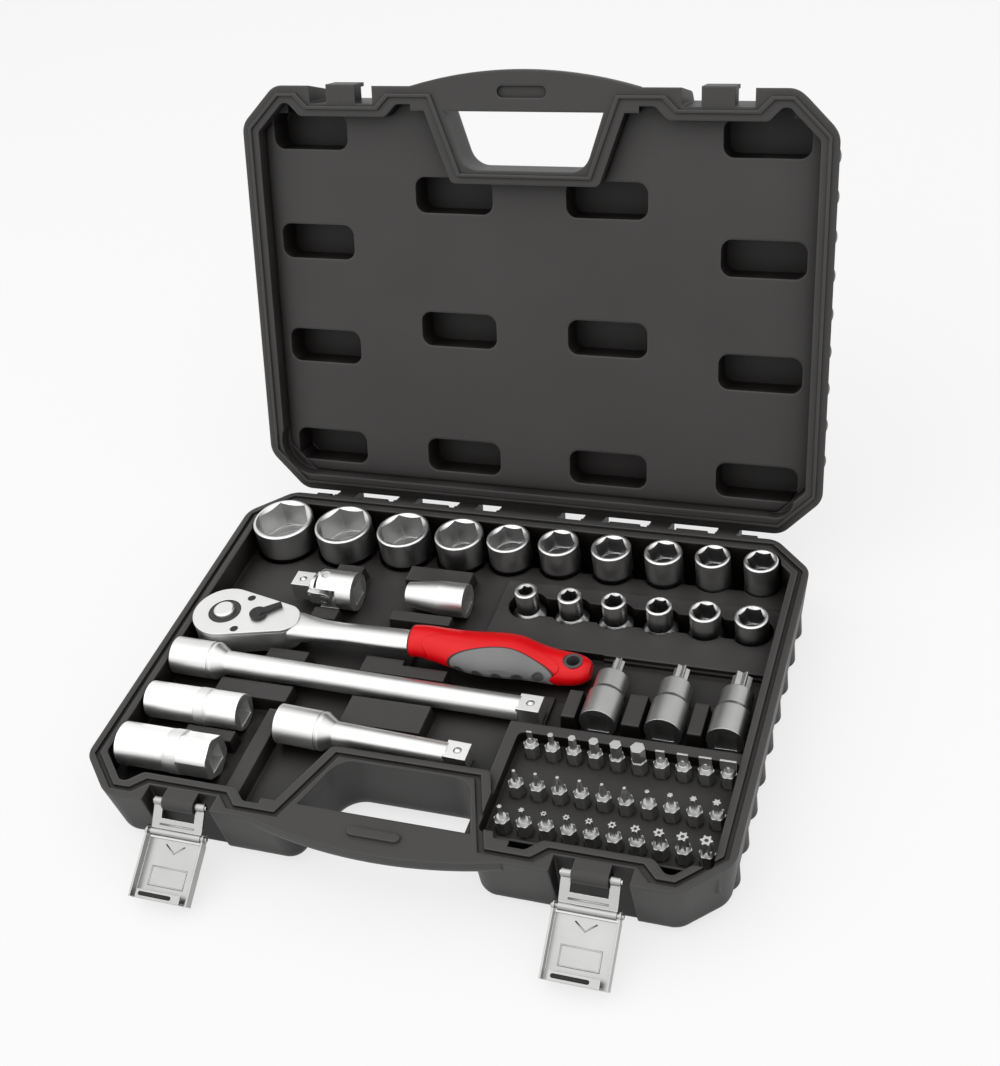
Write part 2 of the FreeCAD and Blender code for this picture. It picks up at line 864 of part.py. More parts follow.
def case_base():
    outside = shell(0, RIM, "wall_draft", 0)
    ribs = side_ribs("rib_low", f"{RIM} - rib_flange")
    tray = rounded(slab(tray_outline(0), DECK, f"{RIM} + past"), "tray_round", spans_height)
    groove_out = slab(tray_outline("groove_near + groove_width"), f"{RIM} - groove_depth", f"{RIM} + past")
    groove_in = slab(tray_outline("groove_near"), f"{RIM} - groove_depth", f"{RIM} + past")
    blank = cut(fuse(outside, *ribs), tray)
    bar = handle_bar(f"{RIM} - handle_depth", RIM, f"{RIM} - handle_depth")
    key = key_slot(0, f"{RIM} - past", f"{RIM} + key_proud")
    inside = "(case_width/2 - rim_band + rim_overlap)"
    front = "(notch_depth + notch_wall - case_depth/2 - past)"
    rack = box(("rack_left", inside), (front, "rack_back"), (f"{DECK} - past", f"{RIM} - rack_drop"))
    pocket_floor = f"({RIM} - bit_socket_drop)"
    pocket_y = ("bit_pocket_front", "bit_pocket_back")
    pocket_x = ("bit_pocket_left", "case_width/2 - rim_band")
    bit_pocket = rounded(box(pocket_x, pocket_y, (pocket_floor, f"{RIM} + past")), "tray_round", spans_height)
    stepped = cut(fuse(blank, row_shelf()), *socket_wells(), bit_pocket)
    blocks = [mesa(name) for name in BLOCKS]
    barrels = []
    for sign in ("", "-"):
        x = (f"{sign}latch_x - barrel_half", f"{sign}latch_x + barrel_half")
        barrels.append(rod("x", "barrel_radius", *x, (PIVOT_Y, PIVOT_Z)))
        back = "notch_depth - case_depth/2 + past"
        barrels.append(box(x, (PIVOT_Y, back), (f"{PIVOT_Z} - barrel_radius", RIM)))
    knuckles, mouths = base_knuckles()
    solid = fuse(stepped, bar, key, rack, *blocks, *barrels, *knuckles)
    pin_reach = "(latch_x + notch_half)"
    pin_bore = rod("x", "latch_pin_radius + latch_fit", f"-{pin_reach}", pin_reach, (PIVOT_Y, PIVOT_Z))
    left_latch = box(("-latch_x - notch_half", "notch_half - latch_x"), ("-case_depth", 0), (0, RIM))
    right_latch = box(("latch_x - notch_half", "latch_x + notch_half"), ("-case_depth", 0), (0, RIM))
    bores = overlap(pin_bore, fuse(left_latch, right_latch))
    groove = cut(groove_out, groove_in)
    node("case_base", cut(solid, groove, *rack_cuts(), *ratchet_pockets(), hinge_bore(), bores, *mouths))


CLOSED_Y = f"({PIVOT_Y} - link_length*sin(link_closed_angle*1deg))"
CLOSED_Z = f"({PIVOT_Z} - link_length*cos(link_closed_angle*1deg))"


def latch_hooks():
    """Blocks on the lid with an upstanding lip that the lever's folded end catches."""
    hooks = []
    inner = f"({CLOSED_Y} + lever_depth - lever_pivot_in - lever_plate - hook_clearance)"
    outer = f"({inner} - hook_thickness)"
    back = "(notch_depth - case_depth/2 + past)"
    lip_top = f"({CLOSED_Z} + lever_length - lever_plate - hook_clearance)"
    floor = f"({CLOSED_Z} + lever_length - lever_return - 2*hook_clearance)"
    for sign in ("", "-"):
        x = (f"{sign}latch_x - barrel_half", f"{sign}latch_x + barrel_half")
        hooks.append(box(x, (outer, back), (RIM, floor)))
        hooks.append(box(x, (outer, inner), (RIM, lip_top)))
    return hooks


LID_TOP = f"({RIM} + lid_height)"
LID_FLOOR = f"({LID_TOP} - lid_skin)"
PANEL = f"({RIM} + lid_recess)"


def lid_recesses():
    """Rounded rectangular recesses that stiffen the lid's inner panel."""
    places = []
    for side in ("", "-"):
        for i in (-1.5, -0.5, 0.5, 1.5):
            places.append((f"{side}outer_panel_x", f"{i}*outer_panel_pitch"))
        for i in (0, 1, 2):
            places.append((f"{side}inner_panel_x", f"inner_panel_back - {i}*inner_panel_pitch"))
    recesses = []
    for x, y in places:
        across = (f"{x} - panel_length/2", f"{x} + panel_length/2")
        along = (f"{y} - panel_height/2", f"{y} + panel_height/2")
        hollow = box(across, along, (f"{PANEL} - past", LID_FLOOR))
        recesses.append(rounded(hollow, "panel_round", spans_height))
    return recesses


def corner_notches():
    """Steps that run from the two front corner recesses into the lid's wall."""
    cuts = []
    front = "(-1.5*outer_panel_pitch)"
    for sign in ("", "-"):
        middle = f"{sign}(outer_panel_x + panel_notch_offset)"
        across = (f"{middle} - panel_notch_width/2", f"{middle} + panel_notch_width/2")
        cuts.append(box(across, (f"{front} - panel_notch_reach", front), (f"{PANEL} - past", LID_FLOOR)))
    return cuts


def panel_space(gap, low, high):
    """The tray's outline moved out by gap, less the corners beside the notches, which stay with the wall."""
    corners = []
    notch = "(outer_panel_x + panel_notch_offset + panel_notch_width/2)"
    y = ("-case_depth/2", f"panel_round - 1.5*outer_panel_pitch - panel_height/2 - ({gap})")
    for x in ((notch, "case_width/2"), ("-case_width/2", f"-{notch}")):
        corners.append(box(x, y, (f"{low} - past", f"{high} + past")))
    return cut(rounded(slab(tray_outline(gap), low, high), "tray_round", spans_height), *corners)


def corner_room():
    """Room in the lid's corners for the first and the last socket of the back row."""
    rooms = []
    for flats in (max(BACK_ROW), min(BACK_ROW)):
        wide = f"socket_{flats}_outside/2 + well_gap"
        rooms.append(rod("z", wide, f"{RIM} - past", PANEL, socket_place(flats)))
    return rooms


def swing_open(piece):
    """Turns a piece that is modelled on the closed case with the opened lid."""
    turn(piece, (-1, 0, 0), "lid_open")
    swing = "(lid_open*1deg)"
    bind(piece, "Placement.Base.y", f"{HINGE_Y} - {HINGE_Y}*cos{swing} - {HINGE_Z}*sin{swing}")
    bind(piece, "Placement.Base.z", f"{HINGE_Z} + {HINGE_Y}*sin{swing} - {HINGE_Z}*cos{swing}")


def lid_panel():
    """The lid's inner wall, let into its frame."""
    sheet = panel_space("-panel_fit", PANEL, f"({LID_FLOOR} - panel_fit)")
    swing_open(node("lid_panel", cut(sheet, *lid_recesses(), *corner_notches())))


def case_lid():
    """The lid's outer wall and rim, with the space for its panel."""
    outside = shell(RIM, LID_TOP, 0, "wall_draft")
    ribs = side_ribs(f"{RIM} + rib_flange", f"{LID_TOP} - rib_low")
    recess = rounded(slab(tray_outline(0), f"{RIM} - past", PANEL), "tray_round", spans_height)
    space = panel_space(0, f"({PANEL} - past)", LID_FLOOR)
    tongue_low = f"{RIM} - groove_depth + tongue_clearance"
    tongue_out = slab(tray_outline("groove_near + groove_width - tongue_clearance"), tongue_low, PANEL)
    tongue_in = slab(tray_outline("groove_near + tongue_clearance"), f"{RIM} - groove_depth", PANEL)
    bar = handle_bar(RIM, f"{RIM} + handle_depth", f"{RIM} + handle_depth")
    slot = key_slot("key_clearance", f"{RIM} - past", f"{RIM} + key_proud + key_clearance")
    hinge_side = box(("-case_width", "case_width"), ("tongue_back", "case_depth"), (f"{RIM} - past", PANEL))
    tongue = cut(tongue_out, tongue_in, hinge_side)
    hollows = [recess, space] + lid_recesses() + corner_notches() + corner_room()
    walls = cut(fuse(outside, *ribs), *hollows)
    solid = fuse(walls, tongue, bar, *latch_hooks(), *lid_knuckles())
    swing_open(node("case_lid", cut(solid, slot, hinge_bore())))


def hinge_pin():
    half = "hinge_pin_length/2"
    node("hinge_pin", rod("x", "hinge_pin_radius", f"-{half}", half), f"-{half}", HINGE_Y, HINGE_Z)


def latch_pins():
    pins = []
    for sign in ("-", ""):
        x = (f"{sign}latch_x - latch_pin_half", f"{sign}latch_x + latch_pin_half")
        pins.append(rod("x", "latch_pin_radius", *x, (PIVOT_Y, PIVOT_Z)))
    node("latch_link_pins", bundle(pins))


def latch_link(side, middle):
    """Stamped link that hangs from its pin, with trunnions for the lever at its lower edge."""
    half_plate = "link_plate/2"
    plate = ("-link_plate/2", half_plate)
    near = "(barrel_half + link_arm_gap)"
    arms, holes = [], []
    for sign in (1, -1):
        edges = sorted((f"{sign}*{near}", f"{sign}*({near} + link_arm)"), key=number)
        arms.append(box(edges, plate, ("-link_length", 0)))
        arms.append(rod("x", "link_eye", *edges))
        holes.append(rod("x", "latch_pin_radius + latch_fit", *edges))
    bridge = box(("-link_half", "link_half"), plate, ("-link_length", "link_bridge - link_length"))
    roll = rod("x", "link_eye", "-link_half", "link_half", (0, "-link_length"))
    reach = "(lever_half + trunnion_proud)"
    trunnion = rod("x", "trunnion_radius", f"-{reach}", reach, (0, "-link_length"))
    link = cut(fuse(*arms, bridge, roll, trunnion), *holes)
    node(f"{side}_latch_link", link, middle, PIVOT_Y, PIVOT_Z)
    turn(link, (-1, 0, 0), "link_angle")


def latch_lever(side, middle):
    """Tray-shaped lever: flat plate, two side flanges with ears, and a folded hook at its end."""
    inner = "lever_pivot_in"
    outer = "(lever_pivot_in + lever_plate)"
    edge = "(lever_pivot_in - lever_flange)"
    flat = box(("-lever_half", "lever_half"), (inner, outer), ("-lever_length", "-lever_ear"))
    flanges, holes = [], []
    for sign in (1, -1):
        sides = sorted((f"{sign}*lever_half", f"{sign}*(lever_half - lever_plate)"), key=number)
        flanges.append(box(sides, (edge, outer), ("-lever_length", "-lever_ear")))
        flanges.append(box(sides, (edge, inner), ("-lever_ear", 0)))
        flanges.append(rod("x", "lever_ear", *sides))
        holes.append(rod("x", "trunnion_radius + latch_fit", *sides))
    fold = "(lever_pivot_in - lever_depth)"
    x = ("-lever_return_half", "lever_return_half")
    end = box(x, (fold, outer), ("-lever_length", "lever_plate - lever_length"))
    hook = box(x, (fold, f"{fold} + lever_plate"), ("-lever_length", "lever_return - lever_length"))
    lever = cut(fuse(flat, *flanges, end, hook), *holes)
    pivot_y = f"{PIVOT_Y} - link_length*sin(link_angle*1deg)"
    pivot_z = f"{PIVOT_Z} - link_length*cos(link_angle*1deg)"
    node(f"{side}_latch_lever", lever, middle, pivot_y, pivot_z)
    turn(lever, (-1, 0, 0), "lever_angle")


def square_peg(low, high, axis="x"):
    spans = [("-square/2", "square/2")] * 3
    spans["xyz".index(axis)] = (low, high)
    return box(*spans)


def square_socket(low, high, axis="x"):
    spans = [("-square_hole/2", "square_hole/2")] * 3
    spans["xyz".index(axis)] = (low, high)
    return box(*spans)


BALL_SEAT = "(square/2 + ball_proud - ball_radius)"


def ball_pocket(x):
    low = f"({BALL_SEAT} - ball_radius - ball_travel_room)"
    return rod("z", "ball_radius + ball_fit", low, "square", (x, 0))


def hexagon_socket(flats):
    small = flats < 24
    length = "small_socket_length" if small else "middle_socket_length"
    if flats in FRONT_ROW:
        length = "front_socket_length"
    if flats >= 30:
        length = "large_socket_length"
    depth = "small_hex_depth" if small else "large_hex_depth"
    radius = f"socket_{flats}_outside/2"
    waist = "(socket_drive_length + socket_cone)"
    lower = rod("z", f"socket_{flats}_drive_end/2", 0, "socket_drive_length")
    flare = cone("z", f"socket_{flats}_drive_end/2", radius, "socket_drive_length", waist)
    upper = rod("z", radius, waist, f"{length} - socket_rim_chamfer")
    lip = cone("z", radius, f"{radius} - socket_rim_chamfer", f"{length} - socket_rim_chamfer", length)
    mouth = f"({flats} + socket_hex_fit)"
    hex_low = f"({length} - {depth})"
    opening = hexagon("z", mouth, hex_low, f"{length} + past")
    bore = rod("z", f"{flats}/2 - socket_bore_in", f"{hex_low} - socket_bore_length", length)
    lead = cone("z", f"{mouth}/2", f"{mouth}/sqrt(3) + socket_lead_over", f"{length} - socket_lead", length)
    drive = square_socket("-past", "square_depth", "z")
    tool = cut(fuse(lower, flare, upper, lip), opening, bore, lead, drive)
    x, y = socket_place(flats)
    node(f"socket_{flats}mm", tool, x, y, f"{socket_floor(flats)} + seat_gap")


def extension(name):
    length = f"{name}_extension_length"
    shoulder = f"({length} - square_length)"
    head_end = "extension_head_length"
    neck = "(extension_head_length + extension_cone)"
    head = rod("x", "extension_head_radius", 0, head_end)
    slope = cone("x", "extension_head_radius", "extension_shaft_radius", head_end, neck)
    shaft = rod("x", "extension_shaft_radius", neck, shoulder)
    peg = square_peg(f"{shoulder} - past", length)
    ring_end = "(extension_groove_x + extension_groove_width)"
    ring = rod("x", "extension_head_radius + past", "extension_groove_x", ring_end)
    core = rod("x", "extension_head_radius - extension_groove", "extension_groove_x", ring_end)
    ball_x = f"({length} - square_length/2)"
    drive = square_socket("-past", "square_depth")
    bar = cut(fuse(head, slope, shaft, peg), drive, cut(ring, core), ball_pocket(ball_x))
    lean = f"atan((extension_head_radius - extension_shaft_radius)/({shoulder} - extension_head_length))"
    lift = f"extension_head_length*sin({lean}) + extension_head_radius*cos({lean})"
    x, y, z = f"{name}_extension_x", f"{name}_extension_y", f"({DECK} + seat_gap + {lift})"
    turn(node(f"{name}_extension", bar, x, y, z), (0, 1, 0), lean)
    ball_along = f"({ball_x}*cos({lean}) + {BALL_SEAT}*sin({lean}))"
    ball_up = f"({BALL_SEAT}*cos({lean}) - {ball_x}*sin({lean}))"
    detent = ball("ball_radius", 0, 0, 0)
    node(f"{name}_extension_ball", detent, f"{x} + {ball_along}", y, f"{z} + {ball_up}")


def bit_adapter():
    length = "adapter_length"
    nose = cone("x", "adapter_nose_radius", "adapter_radius", 0, "adapter_nose_length")
    barrel = rod("x", "adapter_radius", "adapter_nose_length", length)
    bit_hole = hexagon("x", "adapter_hex", "-past", "adapter_hex_depth")
    drive = square_socket(f"{length} - square_depth", f"{length} + past")
    spot = ("adapter_x", "adapter_y", f"{DECK} + seat_gap + adapter_radius")
    node("bit_adapter", cut(fuse(nose, barrel), bit_hole, drive), *spot)


def universal_joint():
    """Two forks on a cross: the socket half's arms above and below, the drive half's at the sides."""
    spot = ("ujoint_x", "ujoint_y", f"{DECK} + seat_gap + ujoint_radius")
    hole = "ujoint_pin_radius + ujoint_pin_fit"
    reach = "ujoint_socket_reach"
    barrel = rod("x", "ujoint_radius", "-ujoint_arm_reach", reach)
    slot_z = ("-ujoint_slot_half", "ujoint_slot_half")
    slot = box(("-ujoint_arm_reach - past", "ujoint_slot_depth"), ("-ujoint_radius", "ujoint_radius"), slot_z)
    upright = rod("z", hole, "-ujoint_radius", "ujoint_radius")
    drive = square_socket(f"{reach} - ujoint_square_depth", f"{reach} + past")
    node("joint_socket_half", cut(barrel, slot, upright, drive), *spot)

    block_x = ("-ujoint_block_half", "ujoint_block_half")
    block_y = ("-ujoint_block_width_half", "ujoint_block_width_half")
    pins = [rod(axis, "ujoint_pin_radius", "-ujoint_pin_half", "ujoint_pin_half") for axis in ("y", "z")]
    node("joint_cross", fuse(box(block_x, block_y, block_x), *pins), *spot)

    fork = []
    cross_holes = []
    for sign in (1, -1):
        sides = sorted((f"{sign}*ujoint_fork_inner", f"{sign}*ujoint_fork_outer"), key=number)
        fork.append(box(("-ujoint_hub_near", 0), sides, ("-ujoint_fork_half", "ujoint_fork_half")))
        fork.append(rod("y", "ujoint_fork_half", *sides))
        cross_holes.append(rod("y", hole, *sides))
    hub = rod("x", "ujoint_hub_radius", "-ujoint_hub_far", "-ujoint_hub_near")
    disc = rod("x", "ujoint_fork_outer", "-ujoint_hub_far", "-ujoint_hub_near")
    fork_z = ("-ujoint_fork_half", "ujoint_fork_half")
    rim = overlap(disc, box(("-ujoint_hub_far", 0), ("-ujoint_radius", "ujoint_radius"), fork_z))
    tip = "(ujoint_hub_far + square_length)"
    peg = square_peg(f"-{tip}", "-ujoint_hub_far")
    ball_x = "(-ujoint_hub_far - square_length/2)"
    node("joint_drive_half", cut(fuse(*fork, hub, rim, peg), *cross_holes, ball_pocket(ball_x)), *spot)
    x, y, z = spot
    node("joint_ball", ball("ball_radius", 0, 0, 0), f"{x} + {ball_x}", y, f"{z} + {BALL_SEAT}")


def spark_plug_socket(name, flats_end):
    length, radius = f"plug_{name}_length", f"plug_{name}_radius"
    flats = f"plug_{name}_hex"
    tube = rod("x", radius, 0, length)
    band = rod("x", f"{radius} + plug_band_proud", "plug_band_x", "plug_band_x + plug_band_width")
    body = fuse(tube, band)
    if flats_end:
        start = f"({length} - plug_flats_length)"
        ring = rod("x", f"{radius} + past", start, f"{length} + past")
        body = cut(body, cut(ring, hexagon("x", "plug_flats", start, f"{length} + past")))
    mouth = hexagon("x", flats, "-past", "plug_hex_depth")
    bore_end = "(plug_hex_depth + plug_bore_length)"
    bore = rod("x", f"{flats}/2 - plug_bore_in", "plug_hex_depth - past", bore_end)
    drive = square_socket(f"{length} - square_depth", f"{length} + past")
    through = rod("x", "rubber_hole", 0, length)
    spot = (f"plug_{name}_x", f"plug_{name}_y", f"{DECK} + seat_gap + {radius} + plug_band_proud")
    size = "21mm" if flats_end else "16mm"
    node(f"spark_plug_socket_{size}", cut(body, mouth, bore, drive, through), *spot)
    rubber_end = "(rubber_from + rubber_length)"
    sleeve = rod("x", f"{flats}/2 - plug_bore_in - rubber_fit", "rubber_from", rubber_end)
    grip = cut(sleeve, rod("x", "rubber_hole", "rubber_from", rubber_end))
    node(f"plug_rubber_{size}", grip, *spot)


def star(axis, radius, low, high, across=(0, 0)):
    """A six-pointed driving tip with blunted points."""
    points = [prism(axis, 3, f"star_point*({radius})", low, high, across, spin) for spin in (0, 60)]
    return overlap(fuse(*points), rod(axis, radius, low, high, across))


def bit_socket(name):
    reach = "bit_socket_reach"
    size = f"bit_socket_{name}_star"
    base_end = "bit_socket_base_length"
    step = "(bit_socket_base_length + bit_socket_step)"
    base = rod("y", "bit_socket_radius", 0, base_end)
    slope = cone("y", "bit_socket_radius", "bit_socket_neck_radius", base_end, step)
    neck = rod("y", "bit_socket_neck_radius", step, "bit_socket_length")
    seat = "(bit_socket_length - bit_socket_press)"
    hole = rod("y", f"{size} + bit_socket_fit", seat, "bit_socket_length")
    drive = square_socket("-past", "square_depth", "y")
    spot = (f"bit_socket_{name}_x", "bit_socket_y", f"{RIM} - bit_socket_drop + seat_gap + bit_socket_radius")
    node(f"bit_socket_{name}", cut(fuse(base, slope, neck), hole, drive), *spot)
    shank = rod("y", size, seat, "bit_socket_length + star_collar")
    tip = star("y", size, "bit_socket_length", reach)
    node(f"star_bit_{name}", fuse(shank, tip), *spot)


def bit(across, make_tip):
    """An insert bit standing on its hexagon shank."""
    shank = hexagon("z", "bit_hex", 0, "bit_shank", across)
    shoulder = cone("z", "bit_hex/2", "bit_hex/3", "bit_shank", "bit_shank + bit_shoulder", across)
    return fuse(shank, shoulder, make_tip(across))


TIP_FOOT = "(bit_shank + bit_shoulder - bit_tip_sink)"


def hexagon_tip(flats):
    return lambda across: hexagon("z", flats, TIP_FOOT, "bit_length", across)


def slotted_tip(width):
    def make(across):
        x, y = across
        neck = cone("z", "bit_hex/3", "slot_neck_radius", TIP_FOOT, "bit_length - slot_neck_back", across)
        wide = (f"{x} - {width}/2", f"{x} + {width}/2")
        thick = (f"{y} - slot_blade/2", f"{y} + slot_blade/2")
        return fuse(neck, box(wide, thick, ("bit_length - slot_blade_length", "bit_length")))
    return make


def cross_tip(radius, ribs):
    def make(across):
        x, y = across
        point = cone("z", radius, "cross_point", TIP_FOOT, "bit_length", across)
        kinds = [(0, "cross_vane/2", radius)]
        if ribs:
            kinds.append((45, "cross_rib/2", f"cross_rib_reach*{radius}"))
        vanes = []
        for spin, wide, reach in kinds:
            for quarter in (0, 90):
                vane = box((f"-{reach}", reach), (f"-{wide}", wide), (0, "bit_length"))
                vane = place(bundle([vane]), x, y)
                vane.Placement.Rotation = FreeCAD.Rotation(FreeCAD.Vector(0, 0, 1), spin + quarter)
                vanes.append(vane)
        return overlap(point, fuse(*vanes))
    return make


def star_tip(radius, holed=False):
    def make(across):
        tip = star("z", radius, TIP_FOOT, "bit_length", across)
        if not holed:
            return tip
        hole = ("bit_length - star_hole_depth", "bit_length + past")
        return cut(tip, rod("z", f"star_hole_ratio*{radius}", *hole, across))
    return make


def insert_bits():
    sizes = {kind: [f"{kind}_tip_{i}" for i in range(len(TIPS[kind]))] for kind in TIPS}
    hexagons = [hexagon_tip(flats) for flats in sizes["hexagon"]]
    slots = [slotted_tip(width) for width in sizes["slotted"]]
    back = slots[:1] + hexagons + slots[1:]
    crosses = [cross_tip(radius, False) for radius in sizes["cross"]]
    ribbed = [cross_tip(radius, True) for radius in sizes["cross"]]
    stars = [star_tip(radius) for radius in sizes["star"]]
    middle = crosses + ribbed + stars
    front = stars[:2] + [star_tip(radius, True) for radius in sizes["holed_star"]]
    rows = {"back": back, "middle": middle, "front": front}
    labels = {"back": "hexagon_and_slotted_bits", "middle": "cross_and_star_bits", "front": "holed_star_bits"}
    for row, tips in rows.items():
        bits = [bit(bit_place(row, i), tip) for i, tip in enumerate(tips)]
        node(labels[row], bundle(bits), 0, 0, BIT_FOOT)


def teardrop(low, high):
    """The ratchet head's plan: a large round joined to a small one by two tangents."""
    slope = "((head_radius - head_tail_radius)/head_tail_x)"
    rise = f"sqrt(1 - {slope}^2)"
    near = (f"head_radius*{slope}", f"head_radius*{rise}")
    far = (f"head_tail_x + head_tail_radius*{slope}", f"head_tail_radius*{rise}")
    corners = [near, (near[0], f"-({near[1]})"), (far[0], f"-({far[1]})"), far]
    tail = rod("z", "head_tail_radius", low, high, ("head_tail_x", 0))
    return fuse(rod("z", "head_radius", low, high), tail, slab(corners, low, high))


def on_ratchet(label, piece, along=0, up=0, spin=0):
    """A node of the ratchet, placed from the head's centre and turned with the handle."""
    heading = "(ratchet_turn*1deg)"
    x, y = f"ratchet_x + ({along})*cos{heading}", f"ratchet_y + ({along})*sin{heading}"
    node(label, piece, x, y, f"{RATCHET_Z} + ({up})")
    return turn(piece, (0, 0, 1), f"ratchet_turn + ({spin})")


COVER_LOW = "(head_half_height - cover_thickness)"


def ellipse_loft(stations, grow=0):
    """A smooth bar along X through ellipses given as place, half width, half height, Y and Z."""
    sections = []
    for x, half, tall, y, z in stations:
        ring = made("Ellipse", MajorRadius=f"{half} + ({grow})", MinorRadius=f"{tall} + ({grow})")
        ring.Placement.Rotation = SECTION
        sections.append(place(ring, x, y, z))
    return loft(sections)


def neck():
    """The flat oval shaft, which rises from the head's middle to the grip's axis."""
    half = "shaft_thickness/2"
    middle = "((neck_narrow_x + grip_start)/2)"
    head_middle = "(-cover_thickness/2)"
    return ellipse_loft([
        ("neck_start", "neck_wide_half", "head_half_height - cover_thickness/2 - neck_step", 0, head_middle),
        ("neck_narrow_x", "shaft_half", half, 0, "shaft_rise"),
        (middle, "shaft_half", half, 0, "shaft_rise"),
        ("grip_start", "shaft_half", half, 0, "shaft_rise"),
    ])


def tang(grow):
    half = f"(tang_half + ({grow}))"
    tall = f"(tang_half_height + ({grow}))"
    z = (f"shaft_rise - {tall}", f"shaft_rise + {tall}")
    return box(("grip_start - past", f"grip_start + tang_length + ({grow})"), (f"-{half}", half), z)


def ratchet_body():
    head = teardrop("-head_half_height", COVER_LOW)
    room = rod("z", "gear_room_radius", "-gear_room_low", "head_half_height")
    outlet = rod("z", "gear_boss_radius + gear_boss_gap", "-head_half_height - past", 0)
    pawl_y = ("-pawl_room_half", "pawl_room_half")
    pawl_room = box((0, "pawl_room_far"), pawl_y, ("-gear_room_low", "head_half_height"))
    taps = []
    for sign in ("", "-"):
        at = ("screw_x", f"{sign}screw_y")
        taps.append(rod("z", "screw_radius + screw_fit", "screw_low - past", "head_half_height", at))
    on_ratchet("ratchet_body", cut(fuse(head, neck(), tang(0)), room, outlet, pawl_room, *taps))


def ratchet_cover():
    plate = teardrop(COVER_LOW, "head_half_height")
    hub_hole = rod("z", "gear_hub_radius + cover_hole_gap", 0, "head_half_height + past")
    switch_hole = rod("z", "switch_shaft_radius + switch_fit", 0, "head_half_height + past", ("switch_x", 0))
    holes = []
    sink = "(head_half_height - screw_sink - screw_head)"
    for sign in ("", "-"):
        at = ("screw_x", f"{sign}screw_y")
        holes.append(rod("z", "screw_radius + screw_fit", 0, "head_half_height", at))
        holes.append(rod("z", "screw_head_radius + screw_fit", sink, "head_half_height + past", at))
    on_ratchet("ratchet_cover", cut(plate, hub_hole, switch_hole, *holes))
    screws = []
    for sign in ("", "-"):
        at = ("screw_x", f"{sign}screw_y")
        screws.append(fuse(rod("z", "screw_radius", "screw_low", sink, at),
                           rod("z", "screw_head_radius", sink, f"{sink} + screw_head", at)))
    on_ratchet("cover_screws", bundle(screws))


def toothed_disc():
    """The ratchet wheel: straight-sided teeth around a disc."""
    count = int(number("gear_teeth"))
    tip, root = number("gear_tip_radius"), number("gear_root_radius")
    corners = []
    for i in range(2*count):
        angle = math.pi*i/count
        radius = root if i % 2 else tip
        corners.append(FreeCAD.Vector(radius*math.cos(angle), radius*math.sin(angle), -number("gear_low")))
    face = Part.Face(Part.makePolygon(corners + corners[:1]))
    disc = doc.addObject("Part::Feature", "toothed_disc")
    disc.Shape = face.extrude(FreeCAD.Vector(0, 0, number("gear_low + gear_high")))
    return disc


def spring(radius, wire, turns, length):
    """A wave spring standing on the origin: wire rings joined by posts on opposite sides in turn."""
    pitch = f"((({length}) - 2*({wire}))/({turns}))"
    pieces = []
    for i in range(int(number(turns)) + 1):
        pieces.append(place(made("Torus", Radius1=radius, Radius2=wire), 0, 0, f"{i}*{pitch}"))
        if i:
            side = "" if i % 2 else "-"
            post = f"spring_post*({wire})"
            pieces.append(rod("z", post, f"{i - 1}*{pitch}", f"{i}*{pitch}", (f"{side}({radius})", 0)))
    return fuse(*pieces)


def drive_parts():
    boss = rod("z", "gear_boss_radius", "-head_half_height", "-gear_low")
    hub = rod("z", "gear_hub_radius", "gear_high", "gear_hub_top")
    peg = square_peg("-drive_square_low", "-head_half_height", "z")
    button_room = rod("z", "button_radius + button_gap", "button_room", "head_half_height + past")
    stem_room = rod("z", "button_stem_radius + button_gap", "stem_room_floor - drive_square_low", "button_low")
    at = (0, "drive_ball_z")
    ball_room = rod("x", "ball_radius + ball_fit", f"{BALL_SEAT} - ball_radius - ball_travel_room", "square", at)
    gear = cut(fuse(toothed_disc(), boss, hub, peg), button_room, stem_room, ball_room)
    on_ratchet("drive_gear", gear)
    on_ratchet("drive_ball", ball("ball_radius", 0, 0, 0), BALL_SEAT, "drive_ball_z")
    brow = "(button_top - button_crown)"
    cap = rod("z", "button_radius", "button_low", brow)
    crown = cone("z", "button_radius", "button_radius - button_crown", brow, "button_top")
    stem = rod("z", "button_stem_radius", "-button_stem_low", "button_low")
    on_ratchet("release_button", fuse(cap, crown, stem))
    length = "(button_low - button_room - 2*spring_clearance)"
    coil = spring("button_spring_radius", "button_spring_wire", "button_spring_turns", length)
    on_ratchet("button_spring", coil, 0, "button_room + button_spring_wire + spring_clearance")


def switch_parts():
    """The reversing lever, its pawl, and the spring in the lever's shaft that drives the pawl."""
    disc_low = "(head_half_height + switch_gap)"
    disc_top = f"({disc_low} + switch_disc)"
    shaft = rod("z", "switch_shaft_radius", "switch_low", disc_low)
    disc = rod("z", "switch_disc_radius", disc_low, disc_top)
    arm = [(0, "-switch_arm_half"), ("switch_arm", "-switch_tip_half")]
    arm += [("switch_arm", "switch_tip_half"), (0, "switch_arm_half")]
    blade = slab(arm, disc_low, f"{disc_top} + switch_arm_rise")
    hole_radius = "pawl_spring_radius + pawl_spring_wire + pawl_spring_room"
    spring_hole = rod("x", hole_radius, "-switch_shaft_radius", 0)
    on_ratchet("reverse_lever", cut(fuse(shaft, disc, blade), spring_hole), "switch_x", 0, "switch_angle")
    coil = spring("pawl_spring_radius", "pawl_spring_wire", "pawl_spring_turns", "pawl_spring_length")
    coil.Placement.Rotation = FreeCAD.Rotation(FreeCAD.Vector(0, 1, 0), -90)
    place(coil, "-pawl_spring_back")
    on_ratchet("pawl_spring", bundle([coil]), "switch_x", 0, "switch_angle")
    pawl_y = ("-pawl_half", "pawl_half")
    block = box(("pawl_far/2", "pawl_far"), pawl_y, ("-pawl_low", "pawl_high"))
    room = rod("z", "gear_tip_radius + pawl_gear_gap", "-head_half_height", "head_half_height")
    on_ratchet("pawl", cut(block, room))


